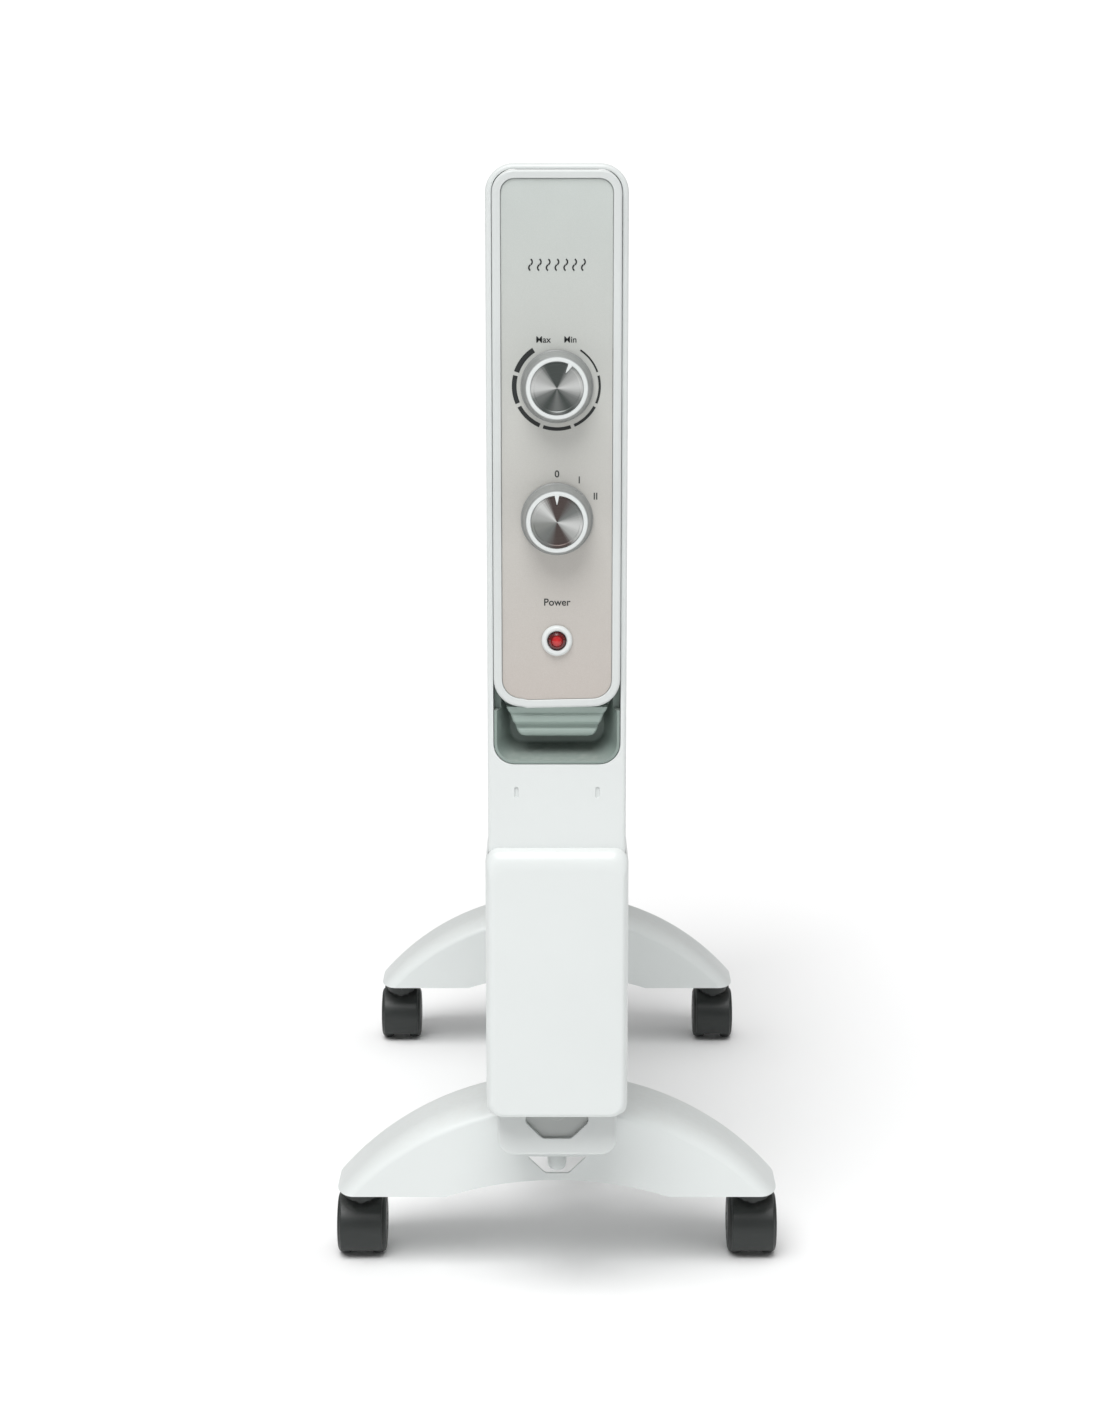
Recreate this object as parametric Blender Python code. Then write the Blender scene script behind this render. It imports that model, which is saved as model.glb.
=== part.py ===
"""Oil-filled radiator heater on castors, as an assembly of separate pieces.

Metres, +Z up, X across the feet, the control panel facing -Y. The origin is on the floor, under
the middle of the overall box. "Depth" below is measured backwards from the front face of the
control housing; depth_to_y() turns it into a place along Y.
"""

import math

import bmesh
import bpy
from mathutils import Matrix, Vector

MM = 0.001

# ---------------------------------------------------------------- driving dimensions
GAP = 0.3 * MM                    # kept between pieces that touch
OVERSHOOT = 5 * MM                # how far a cutting body runs past what it cuts
CLEAR_OF_FOOT = 90 * MM           # height of the bodies that cut the foot open from above

HEIGHT = 640 * MM                 # floor to the top of the housing

FIN_COUNT = 11
FIN_PITCH = 46 * MM
FIN_WIDTH = 72 * MM
FIN_TOP_DROP = 15 * MM            # the fins end this far below the housing's top
FIN_ABOVE_FOOT = 33.5 * MM        # fins' lower end above the foot's underside
FIN_CORNER = 16 * MM
FIN_SEAM_THICKNESS = 1.8 * MM     # the welded rim of the two pressed sheets
FIN_SEAM_WIDTH = 10 * MM
FIN_BULGE = 9 * MM                # outside thickness over the oil channel
FIN_SHEET = 0.9 * MM
FIN_SHOULDER = 4 * MM             # width of the slope from seam to channel
FIRST_FIN_SETBACK = 12 * MM       # housing's rear edge to the first fin's mid plane

COLLECTOR_RADIUS = 19 * MM        # round bosses that join fin to fin, top and bottom
COLLECTOR_BORE = 14.5 * MM
COLLECTOR_INSET = 33 * MM         # from the fin's end to the collector's axis
PLUG_RADIUS = 7.5 * MM            # hexagonal filler plug, across corners
PLUG_HEIGHT = 5.5 * MM
END_BOSS = 8.2 * MM               # how far the end bosses stand from the mid plane of the end fins

HOUSING_WIDTH = 75 * MM
HOUSING_DEPTH = 58 * MM
HOUSING_WALL = 2.4 * MM
HOUSING_CORNER = 15 * MM
HOUSING_EDGE = 2.4 * MM           # rounding of the front rim
HOUSING_RIM = 3.2 * MM            # face width of the rim around the panel
HOUSING_TOP_RIM = 2.9 * MM
HOUSING_ABOVE_COVER = 143.5 * MM  # upper housing's lower end above the cord cover's
SLOT_SPACING = 44 * MM            # two small slots under the handle recess
SLOT_SIZE = (2 * MM, 6 * MM)
SLOT_DEPTH = 0.8 * MM
SLOT_DROP = 15.5 * MM

PANEL_HEIGHT = 286 * MM
PANEL_PROUD = 4 * MM
PANEL_REACH = 8 * MM              # how far the bezel's walls reach behind the housing's face
PANEL_WALL = 2.2 * MM
PANEL_SKIN = 2.0 * MM             # wall behind the fascia
PANEL_BOTTOM_CORNER = 15 * MM
PANEL_BOW = 2.5 * MM              # the bottom edge is bowed down by this
PANEL_EDGE = 1.5 * MM
FASCIA_BORDER = 4.1 * MM
FASCIA_BOTTOM_BORDER = 3.4 * MM
FASCIA_SINK = 1.2 * MM            # fascia below the bezel's front edge
FASCIA_THICKNESS = 1.0 * MM
FASCIA_TOP_CORNER = 6 * MM
FASCIA_BOTTOM_CORNER = 12 * MM

RECESS_DROP = 30 * MM             # handle recess, below the bezel's bottom edge
RECESS_DEPTH = 27 * MM
RECESS_RISE = 21 * MM             # finger room above the bezel's bottom edge, behind it
RECESS_WALL = 1.6 * MM
RECESS_CORNER = 11.5 * MM
CHIN_DROP = 16.5 * MM             # grip under the bezel
CHIN_OVERLAP = 1.5 * MM           # and up into it

THERMOSTAT_DROP = 115 * MM        # from the top of the housing to the thermostat's axis
CONTROL_SPACING = 70 * MM         # thermostat to selector
PILOT_SPACING = 65.5 * MM         # selector to pilot light
SPINDLE_RADIUS = 3 * MM
SPINDLE_PLAY = 0.25 * MM
BUSH_RADIUS = 4.8 * MM
BUSH_HOLE = 5.3 * MM
KNOB_BASE_RADIUS = 19.2 * MM
KNOB_FACE_RADIUS = 17 * MM
KNOB_HEIGHT = 15.3 * MM
KNOB_SKIRT = 2.2 * MM
KNOB_CAP_RADIUS = 13.7 * MM
KNOB_CAP_THICKNESS = 1.3 * MM
KNOB_CAP_PROUD = 0.5 * MM
PILOT_RADIUS = 8.3 * MM
PILOT_NECK = 6.0 * MM
PILOT_LENS = 4.8 * MM
PILOT_NECK_LENGTH = 6 * MM
PILOT_RING_HEIGHT = 2.4 * MM
PILOT_LENS_HEIGHT = 4.5 * MM
PILOT_LAMP_RADIUS = 3 * MM
PILOT_LAMP_LENGTH = 14 * MM

COVER_ABOVE_LOWER = 26 * MM       # cord cover's lower end above the lower housing's
COVER_HEIGHT = 156.5 * MM
COVER_PROUD = 7 * MM
COVER_WALL = 1.3 * MM
COVER_REACH = 50 * MM
COVER_SHOULDER = 12 * MM          # rounded top end of the cord cover
COVER_SIDE_EDGE = 4 * MM
COVER_CORNER = 8 * MM

LOWER_NARROWER = 8 * MM           # lower housing against the upper one
LOWER_ABOVE_FOOT = 44 * MM
LOWER_SETBACK = 14 * MM
LOWER_WALL = 2.0 * MM
LOWER_CORNER = 6 * MM
OUTLET_TOP_WIDTH = 35 * MM
OUTLET_BOTTOM_WIDTH = 16 * MM
OUTLET_RISE = 10 * MM             # outlet's lower edge above the lower housing's end
OUTLET_SLANT = 9.5 * MM           # height of its slanted sides
OUTLET_STRAIGHT = 12 * MM         # height of its upright sides
CORD_HOLE = 3.6 * MM
GLAND_WALL = 2 * MM               # of the sleeve around the hole
GLAND_SLEEVE = 14 * MM            # length of the sleeve behind the block
GLAND_PROUD = 1.5 * MM            # and in front of the lower housing's wall
GLAND_BLOCK = 3 * MM
GLAND_EDGE = 3 * MM               # the block is this much larger than the outlet

BACK_PLATE = 1.2 * MM
BACK_PLATE_SINK = 0.6 * MM        # its back lies this far inside the housing's rear edge
TERMINAL_BLOCK = (40 * MM, 13 * MM, 18 * MM)
TERMINAL_RISE = 12 * MM           # above the upper housing's floor
CUTOUT_RADIUS = 8 * MM
CUTOUT_LENGTH = 14 * MM
CUTOUT_DROP = 160 * MM            # thermal cut-out, from the top of the housing

ELEMENT_TUBE = 4 * MM
ELEMENT_SPREAD = 7 * MM           # tube axis to collector axis
ELEMENT_FLANGE = 17.5 * MM
ELEMENT_FLANGE_THICKNESS = 5 * MM
ELEMENT_PIN = 1.6 * MM
ELEMENT_PIN_REACH = 16 * MM       # pins' ends in front of the flange's back
ELEMENT_END_CLEAR = 30 * MM       # tube end to the last fin

FOOT_ARC = 170.1 * MM             # radius of the foot's arched top
FOOT_ARC_DROP = 110.4 * MM        # its centre lies this far under the foot's flat underside
FOOT_END = 5 * MM                 # height of the foot's two ends
FOOT_END_CUT = 3 * MM
FOOT_WALL = 2.2 * MM
FOOT_ROUND_HIGH = 8 * MM          # rounding between arch and faces, seen from the front
FOOT_ROUND_DEEP = 20 * MM         # and seen from the side
FOOT_ARCH_RISE = 10.5 * MM        # arch in the underside
FOOT_ARCH_HALF = 65 * MM
FIN_WELL_ROOM = 2 * MM            # beside and under the two fins that stand in the foot's pocket
WEB_THICKNESS = 2.5 * MM
WINDOW_TOP_WIDTH = 35 * MM
WINDOW_BOTTOM_WIDTH = 14 * MM
WINDOW_EDGE = 4.1 * MM            # material left over and under the window
STUD_RADIUS = 3 * MM
STUD_FLANGE = 7 * MM
STUD_FLANGE_THICKNESS = 2 * MM
NUT_RADIUS = 5.6 * MM
NUT_HEIGHT = 22.5 * MM
NUT_END = 1.5 * MM                # rounding and wall at the closed end of the nut
NUT_COLLAR = 1.4 * MM             # how far its collar stands out, and its thickness

CASTOR_SPACING = 233 * MM
WHEEL_RADIUS = 18.5 * MM
WHEEL_WIDTH = 8.8 * MM
WHEEL_GAP = 12 * MM
CASTOR_TRAIL = 8 * MM
HOOD_PLAY = 0.6 * MM
HOOD_THICKNESS = 1.8 * MM
HOOD_WIDTH = 25 * MM
HOOD_FRONT_DIP = 35               # degrees that the hood reaches below the axle, in front
HOOD_BACK = 115                   # degrees from the front, over the top, to its rear edge
COLLAR_RADIUS = 12.5 * MM
COLLAR_HEIGHT = 7.5 * MM          # hood to the collar's top
COLLAR_PLAY = 1.6 * MM            # collar's top to the foot
STEM_RADIUS = 3.5 * MM
STEM_PLAY = 0.25 * MM
STEM_BOSS = 5.2 * MM
STEM_IN_FOOT = 7 * MM
SOCKET_RADIUS = 7.5 * MM
AXLE_RADIUS = 2 * MM
AXLE_PLAY = 0.25 * MM

ROUND_SIDES = 20
BAR_SIDES = 12

# ---------------------------------------------------------------- places worked out from them
FOOT_BASE = 2 * WHEEL_RADIUS + HOOD_PLAY + HOOD_THICKNESS + COLLAR_HEIGHT + COLLAR_PLAY
COLLAR_TOP = FOOT_BASE - COLLAR_PLAY
FIN_BOTTOM = FOOT_BASE + FIN_ABOVE_FOOT
WEB_TOP = FIN_BOTTOM - FIN_WELL_ROOM
WINDOW_TOP = WEB_TOP - WEB_THICKNESS - WINDOW_EDGE
WINDOW_BOTTOM = FOOT_BASE + FOOT_ARCH_RISE + WINDOW_EDGE
FIN_WELL_HALF = FIN_WIDTH / 2 + FIN_WELL_ROOM
FOOT_THICKNESS = FIN_PITCH + FIN_BULGE + 2 * (FOOT_WALL + GAP)
LOWER_WIDTH = HOUSING_WIDTH - LOWER_NARROWER
LOWER_BOTTOM = FOOT_BASE + LOWER_ABOVE_FOOT
COVER_BOTTOM = LOWER_BOTTOM + COVER_ABOVE_LOWER
HOUSING_BOTTOM = COVER_BOTTOM + HOUSING_ABOVE_COVER
OUTLET_BOTTOM = LOWER_BOTTOM + OUTLET_RISE
OUTLET_KNEE = OUTLET_BOTTOM + OUTLET_SLANT
OUTLET_TOP = OUTLET_KNEE + OUTLET_STRAIGHT
HOUSING_HALF = HOUSING_WIDTH / 2
OPENING_HALF = HOUSING_HALF - HOUSING_RIM
OPENING_TOP = HEIGHT - HOUSING_TOP_RIM
PANEL_HALF = OPENING_HALF - GAP
PANEL_TOP = OPENING_TOP - GAP
PANEL_BOTTOM = PANEL_TOP - PANEL_HEIGHT
PANEL_TOP_CORNER = HOUSING_CORNER - HOUSING_RIM
FASCIA_HALF = PANEL_HALF - FASCIA_BORDER
FASCIA_TOP = PANEL_TOP - FASCIA_BORDER
FASCIA_BOTTOM = PANEL_BOTTOM + FASCIA_BOTTOM_BORDER
FASCIA_FRONT = -PANEL_PROUD + FASCIA_SINK
SKIN_FRONT = FASCIA_FRONT + FASCIA_THICKNESS + GAP
SKIN_BACK = SKIN_FRONT + PANEL_SKIN
RECESS_BOTTOM = PANEL_BOTTOM - RECESS_DROP
THERMOSTAT_Z = HEIGHT - THERMOSTAT_DROP
SELECTOR_Z = THERMOSTAT_Z - CONTROL_SPACING
PILOT_Z = SELECTOR_Z - PILOT_SPACING
COVER_HALF = HOUSING_HALF + GAP + COVER_WALL
COVER_TOP = COVER_BOTTOM + COVER_HEIGHT
LOWER_HALF = LOWER_WIDTH / 2

FIN_TOP = HEIGHT - FIN_TOP_DROP
LOW_COLLECTOR_Z = FIN_BOTTOM + COLLECTOR_INSET
TOP_COLLECTOR_Z = FIN_TOP - COLLECTOR_INSET
FIRST_FIN = HOUSING_DEPTH + FIRST_FIN_SETBACK
LAST_FIN = FIRST_FIN + (FIN_COUNT - 1) * FIN_PITCH
FRONT_FOOT = FIRST_FIN + FIN_PITCH / 2
REAR_FOOT = LAST_FIN - FIN_PITCH / 2

KNOB_BACK = FASCIA_FRONT - 0.4 * MM
KNOB_FRONT = KNOB_BACK - KNOB_HEIGHT
REAR_END = LAST_FIN + END_BOSS + GAP + PLUG_HEIGHT
FRONT_END = KNOB_FRONT - KNOB_CAP_PROUD


def depth_to_y(depth):
    """Place along Y of a depth behind the housing's front face."""
    return depth - (FRONT_END + REAR_END) / 2


# ---------------------------------------------------------------- materials
def material(name, colour, roughness, metallic=0.0):
    made = bpy.data.materials.new(name)
    made.use_nodes = True
    shader = made.node_tree.nodes["Principled BSDF"]
    shader.inputs["Base Color"].default_value = (*colour, 1.0)
    shader.inputs["Roughness"].default_value = roughness
    shader.inputs["Metallic"].default_value = metallic
    made.diffuse_color = (*colour, 1.0)
    return made


def make_materials():
    return {
        "white_shell": material("white_shell", (0.88, 0.90, 0.90), 0.35),
        "white_enamel": material("white_enamel", (0.86, 0.88, 0.88), 0.3),
        "grey_recess": material("grey_recess", (0.30, 0.34, 0.33), 0.5),
        "silver_fascia": material("silver_fascia", (0.62, 0.62, 0.60), 0.35, 0.8),
        "spun_metal": material("spun_metal", (0.55, 0.55, 0.54), 0.25, 1.0),
        "red_lens": material("red_lens", (0.6, 0.02, 0.02), 0.15),
        "black_plastic": material("black_plastic", (0.03, 0.035, 0.035), 0.4),
        "steel": material("steel", (0.55, 0.56, 0.57), 0.35, 1.0),
        "brown_insulator": material("brown_insulator", (0.20, 0.12, 0.07), 0.6),
        "lamp_glass": material("lamp_glass", (0.8, 0.45, 0.3), 0.2),
    }


# ---------------------------------------------------------------- shape helpers
def rounded_outline(half_width, low, high, low_corner, high_corner, steps=3, bow=0.0):
    """Points (x, z) around a rectangle with round corners; its low edge may be bowed down."""
    corners = (
        (half_width - low_corner, low + low_corner, low_corner, -90),
        (half_width - high_corner, high - high_corner, high_corner, 0),
        (-half_width + high_corner, high - high_corner, high_corner, 90),
        (-half_width + low_corner, low + low_corner, low_corner, 180),
    )
    points = []
    for x, z, radius, start in corners:
        for step in range(steps + 1):
            angle = math.radians(start + 90 * step / steps)
            points.append((x + radius * math.cos(angle), z + radius * math.sin(angle)))
    if bow:
        flat = half_width - low_corner
        for part in range(1, 4):
            x = -flat + 2 * flat * part / 4
            points.append((x, low - bow * (1 - (x / flat) ** 2)))
    return points


def object_from(name, shape):
    """A linked object from a bmesh, with its faces pointing out."""
    bmesh.ops.remove_doubles(shape, verts=shape.verts, dist=1e-6)
    bmesh.ops.recalc_face_normals(shape, faces=shape.faces)
    mesh = bpy.data.meshes.new(name)
    shape.to_mesh(mesh)
    shape.free()
    made = bpy.data.objects.new(name, mesh)
    bpy.context.scene.collection.objects.link(made)
    return made


def loft(name, rings):
    """A closed body through rings of points that all have the same count."""
    shape = bmesh.new()
    loops = [[shape.verts.new(point) for point in ring] for ring in rings]
    for first, second in zip(loops, loops[1:]):
        for i in range(len(first)):
            j = (i + 1) % len(first)
            shape.faces.new((first[i], first[j], second[j], second[i]))
    shape.faces.new(loops[0])
    shape.faces.new(loops[-1])
    return object_from(name, shape)


def prism(name, outline, near, far):
    """An XZ outline extruded from one depth to another."""
    shape = bmesh.new()
    face = shape.faces.new([shape.verts.new((x, depth_to_y(near), z)) for x, z in outline])
    moved = bmesh.ops.extrude_face_region(shape, geom=[face])["geom"]
    verts = [item for item in moved if isinstance(item, bmesh.types.BMVert)]
    bmesh.ops.translate(shape, verts=verts, vec=(0, far - near, 0))
    return object_from(name, shape)


def box(name, x, depth, z):
    """A block from pairs of limits along X, depth and Z."""
    outline = [(x[0], z[0]), (x[1], z[0]), (x[1], z[1]), (x[0], z[1])]
    return prism(name, outline, depth[0], depth[1])


def turned(name, profile, place, axis, sides=ROUND_SIDES, half_step=False):
    """A turned body: profile is (radius, length along axis) from end to end, placed at a point.

    half_step turns it by half a side, which puts a flat and not an edge at the bottom.
    """
    shape = bmesh.new()
    verts = [shape.verts.new((radius, 0, along)) for radius, along in profile]
    edges = [shape.edges.new(pair) for pair in zip(verts, verts[1:])]
    bmesh.ops.spin(
        shape, geom=verts + edges, cent=(0, 0, 0), axis=(0, 0, 1),
        angle=math.tau, steps=sides, use_merge=True, use_duplicate=False,
    )
    bmesh.ops.remove_doubles(shape, verts=shape.verts, dist=1e-6)
    bmesh.ops.holes_fill(shape, edges=[e for e in shape.edges if e.is_boundary], sides=sides)
    on_axis = [edge for edge in shape.edges if not edge.link_faces]
    bmesh.ops.delete(shape, geom=on_axis, context="EDGES")
    start = math.pi / sides if half_step else 0.0
    turn = Vector(axis).to_track_quat("Z", "Y").to_matrix().to_4x4()
    shape.transform(Matrix.Translation(place) @ turn @ Matrix.Rotation(start, 4, "Z"))
    return object_from(name, shape)


def rod(name, radius, start, end, sides=ROUND_SIDES, half_step=False):
    """A round bar between two points."""
    start, end = Vector(start), Vector(end)
    length = (end - start).length
    return turned(name, [(radius, 0), (radius, length)], start, end - start, sides, half_step)


def along_depth(name, radius, x, z, near, far, sides=ROUND_SIDES):
    """A round bar or hole cutter that runs front to back."""
    return rod(name, radius, (x, depth_to_y(near), z), (x, depth_to_y(far), z), sides)


def tube_along(name, path, radius, sides=12):
    """A round tube swept along points that lie in a plane of constant X."""
    rings = []
    across = Vector((1, 0, 0))
    for i, point in enumerate(path):
        before = path[max(i - 1, 0)]
        after = path[min(i + 1, len(path) - 1)]
        tangent = (Vector(after) - Vector(before)).normalized()
        upward = across.cross(tangent)
        rings.append([
            Vector(point)
            + across * (radius * math.cos(math.tau * k / sides))
            + upward * (radius * math.sin(math.tau * k / sides))
            for k in range(sides)
        ])
    return loft(name, rings)


def combine(target, tool, operation):
    """Adds or removes a helper body, which stays in the file as a hidden wire."""
    tool.hide_render = True
    tool.display_type = "WIRE"
    modifier = target.modifiers.new(tool.name, "BOOLEAN")
    modifier.operation = operation
    modifier.solver = "EXACT"
    modifier.object = tool
    return target


def cut(target, *tools):
    for tool in tools:
        combine(target, tool, "DIFFERENCE")
    return target


def join(target, *tools):
    for tool in tools:
        combine(target, tool, "UNION")
    return target


def finish(part, slot, materials, parent, smooth=True):
    """Gives a piece its material, shading and parent."""
    part.data.materials.clear()
    part.data.materials.append(materials[slot])
    if smooth:
        part.data.shade_smooth()
        part.data.set_sharp_from_angle(angle=math.radians(35))
    part.parent = parent
    part.matrix_parent_inverse = parent.matrix_world.inverted()
    return part


def pivot(name, place, parent=None):
    """An empty on a joint's axis, which the moving pieces are parented to."""
    empty = bpy.data.objects.new(name, None)
    empty.empty_display_size = 10 * MM
    empty.location = place
    bpy.context.scene.collection.objects.link(empty)
    bpy.context.view_layer.update()
    if parent is not None:
        empty.parent = parent
        empty.matrix_parent_inverse = parent.matrix_world.inverted()
        bpy.context.view_layer.update()
    return empty


def face_ring(depth, half, low, high, low_corner, high_corner, bow=0.0):
    """A rounded outline stood up at one depth, for loft()."""
    outline = rounded_outline(half, low, high, low_corner, high_corner, bow=bow)
    return [(x, depth_to_y(depth), z) for x, z in outline]


# ---------------------------------------------------------------- control housing
def make_control_housing(materials, root):
    """Upper shell: open at the back, its front cut away for the bezel and the handle recess."""

    def ring(depth, inset):
        return face_ring(
            depth, HOUSING_HALF - inset, HOUSING_BOTTOM, HEIGHT - inset,
            0.5 * MM, HOUSING_CORNER - inset,
        )

    quarter = HOUSING_EDGE * (1 - math.sqrt(0.5))
    housing = loft("control_housing", [
        ring(0, HOUSING_EDGE), ring(quarter, quarter), ring(HOUSING_EDGE, 0), ring(HOUSING_DEPTH, 0),
    ])
    inside = rounded_outline(
        HOUSING_HALF - HOUSING_WALL, HOUSING_BOTTOM + HOUSING_WALL, HEIGHT - HOUSING_WALL,
        0.5 * MM, HOUSING_CORNER - HOUSING_WALL,
    )
    opening = rounded_outline(
        OPENING_HALF, RECESS_BOTTOM, OPENING_TOP, RECESS_CORNER, PANEL_TOP_CORNER,
    )
    passage = LOWER_HALF - LOWER_WALL
    cut(
        housing,
        prism("housing_inside", inside, HOUSING_WALL, HOUSING_DEPTH + OVERSHOOT),
        prism("housing_opening", opening, -OVERSHOOT, HOUSING_WALL + 1 * MM),
        box("housing_passage", (-passage, passage), (LOWER_SETBACK + LOWER_WALL, HOUSING_DEPTH + OVERSHOOT),
            (HOUSING_BOTTOM - OVERSHOOT, HOUSING_BOTTOM + HOUSING_WALL + 1 * MM)),
    )
    slot_top = RECESS_BOTTOM - SLOT_DROP + SLOT_SIZE[1] / 2
    for side in (-1, 1):
        middle = side * SLOT_SPACING / 2
        cut(housing, box(
            f"housing_slot_{side}", (middle - SLOT_SIZE[0] / 2, middle + SLOT_SIZE[0] / 2),
            (-OVERSHOOT, SLOT_DEPTH), (slot_top - SLOT_SIZE[1], slot_top),
        ))
    finish(housing, "white_shell", materials, root)


def make_back_plate(materials, root):
    """Steel plate that closes the housing at the back and carries it on the first fin."""
    back = HOUSING_DEPTH - BACK_PLATE_SINK
    front = back - BACK_PLATE
    wide = HOUSING_HALF - HOUSING_WALL - GAP
    narrow = LOWER_HALF - LOWER_WALL - GAP
    low = LOWER_BOTTOM + LOWER_WALL + GAP
    step = HOUSING_BOTTOM + HOUSING_WALL + GAP
    corner = HOUSING_CORNER - HOUSING_WALL
    upper = rounded_outline(wide, step, HEIGHT - HOUSING_WALL - GAP, 1 * MM, corner)
    plate = prism("housing_back_plate", upper, front, back)
    tongue = rounded_outline(narrow, low, step + OVERSHOOT, LOWER_CORNER - LOWER_WALL, 0.5 * MM)
    join(plate, prism("back_plate_tongue", tongue, front, back))
    cut(
        plate,
        along_depth("back_plate_cutout_hole", CUTOUT_RADIUS + 2 * GAP, 0, HEIGHT - CUTOUT_DROP,
                    front - OVERSHOOT, back + OVERSHOOT),
        along_depth("back_plate_element_hole", ELEMENT_FLANGE + 2 * GAP, 0, LOW_COLLECTOR_Z,
                    front - OVERSHOOT, back + OVERSHOOT),
    )
    finish(plate, "steel", materials, root)


def make_lower_housing(materials, root):
    """Narrow box under the upper shell, with the cord outlet in its face."""

    def ring(depth, inset):
        return face_ring(
            depth, LOWER_HALF - inset, LOWER_BOTTOM + inset, HOUSING_BOTTOM - GAP,
            LOWER_CORNER - inset, 0.5 * MM,
        )

    edge = 2 * MM
    quarter = edge * (1 - math.sqrt(0.5))
    back = HOUSING_DEPTH - GAP
    housing = loft("lower_housing", [
        ring(LOWER_SETBACK, edge), ring(LOWER_SETBACK + quarter, quarter),
        ring(LOWER_SETBACK + edge, 0), ring(back, 0),
    ])
    inside = rounded_outline(
        LOWER_HALF - LOWER_WALL, LOWER_BOTTOM + LOWER_WALL, HOUSING_BOTTOM + OVERSHOOT,
        LOWER_CORNER - LOWER_WALL, 0.5 * MM,
    )
    cut(
        housing,
        prism("lower_inside", inside, LOWER_SETBACK + LOWER_WALL, back + OVERSHOOT),
        prism("lower_outlet", outlet_outline(0), LOWER_SETBACK - OVERSHOOT,
              LOWER_SETBACK + LOWER_WALL + 1 * MM),
    )
    finish(housing, "white_shell", materials, root)


def outlet_outline(inset):
    """The cord outlet: a slot that narrows downwards."""
    top, bottom = OUTLET_TOP_WIDTH / 2 - inset, OUTLET_BOTTOM_WIDTH / 2 - inset
    return [
        (-bottom, OUTLET_BOTTOM + inset), (bottom, OUTLET_BOTTOM + inset), (top, OUTLET_KNEE),
        (top, OUTLET_TOP - inset), (-top, OUTLET_TOP - inset), (-top, OUTLET_KNEE),
    ]


def make_cord_gland(materials, root):
    """Block that fills the outlet from behind, with the hole that the mains lead leaves by."""
    front = LOWER_SETBACK + LOWER_WALL + GAP
    half = OUTLET_TOP_WIDTH / 2 + GLAND_EDGE
    gland = box("cord_gland", (-half, half), (front, front + GLAND_BLOCK),
                (OUTLET_BOTTOM - GLAND_EDGE, OUTLET_TOP + GLAND_EDGE))
    height = OUTLET_TOP - GAP - GLAND_WALL - CORD_HOLE
    sleeve_front = front - LOWER_WALL - GLAND_PROUD
    sleeve_back = front + GLAND_SLEEVE
    join(gland, along_depth("gland_sleeve", CORD_HOLE + GLAND_WALL, 0, height, sleeve_front, sleeve_back))
    cut(gland, along_depth(
        "gland_hole", CORD_HOLE, 0, height, sleeve_front - OVERSHOOT, sleeve_back + OVERSHOOT,
    ))
    finish(gland, "grey_recess", materials, root)


def make_cord_cover(materials, root):
    """Shell over the lower housing, open below: the compartment that the lead is kept in."""

    def ring(depth, share, wall):
        """share runs from 0, the full outline, to 1, the front face."""
        return face_ring(
            depth,
            COVER_HALF - wall - share * COVER_SIDE_EDGE,
            COVER_BOTTOM - (0 if wall == 0 else OVERSHOOT) + share * (COVER_SIDE_EDGE if wall == 0 else 0),
            COVER_TOP - wall - share * COVER_SHOULDER,
            COVER_CORNER - wall, COVER_CORNER - wall,
        )

    def body(name, wall, back):
        front = -COVER_PROUD + wall
        start = 1 * MM
        steps = 4
        rings = []
        for step in range(steps + 1):
            angle = math.radians(90 * step / steps)
            rings.append(ring(front + (start - front) * (1 - math.cos(angle)), 1 - math.sin(angle), wall))
        return loft(name, rings + [ring(back, 0, wall)])

    cover = body("cord_cover", 0, COVER_REACH)
    clear = HOUSING_HALF + GAP
    cut(
        cover,
        body("cover_inside", COVER_WALL, COVER_REACH + OVERSHOOT),
        box("cover_housing_clearance", (-clear, clear), (-GAP, COVER_REACH + OVERSHOOT),
            (COVER_BOTTOM - OVERSHOOT, COVER_TOP + OVERSHOOT)),
    )
    finish(cover, "white_shell", materials, root)


# ---------------------------------------------------------------- control panel
def control_holes(prefix, near, far):
    """Cutters for the two spindles' bushes and for the pilot light."""
    return [
        along_depth(prefix + "_thermostat_hole", BUSH_HOLE, 0, THERMOSTAT_Z, near, far),
        along_depth(prefix + "_selector_hole", BUSH_HOLE, 0, SELECTOR_Z, near, far),
        along_depth(prefix + "_pilot_hole", PILOT_NECK + 2 * GAP, 0, PILOT_Z, near, far),
    ]


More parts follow.
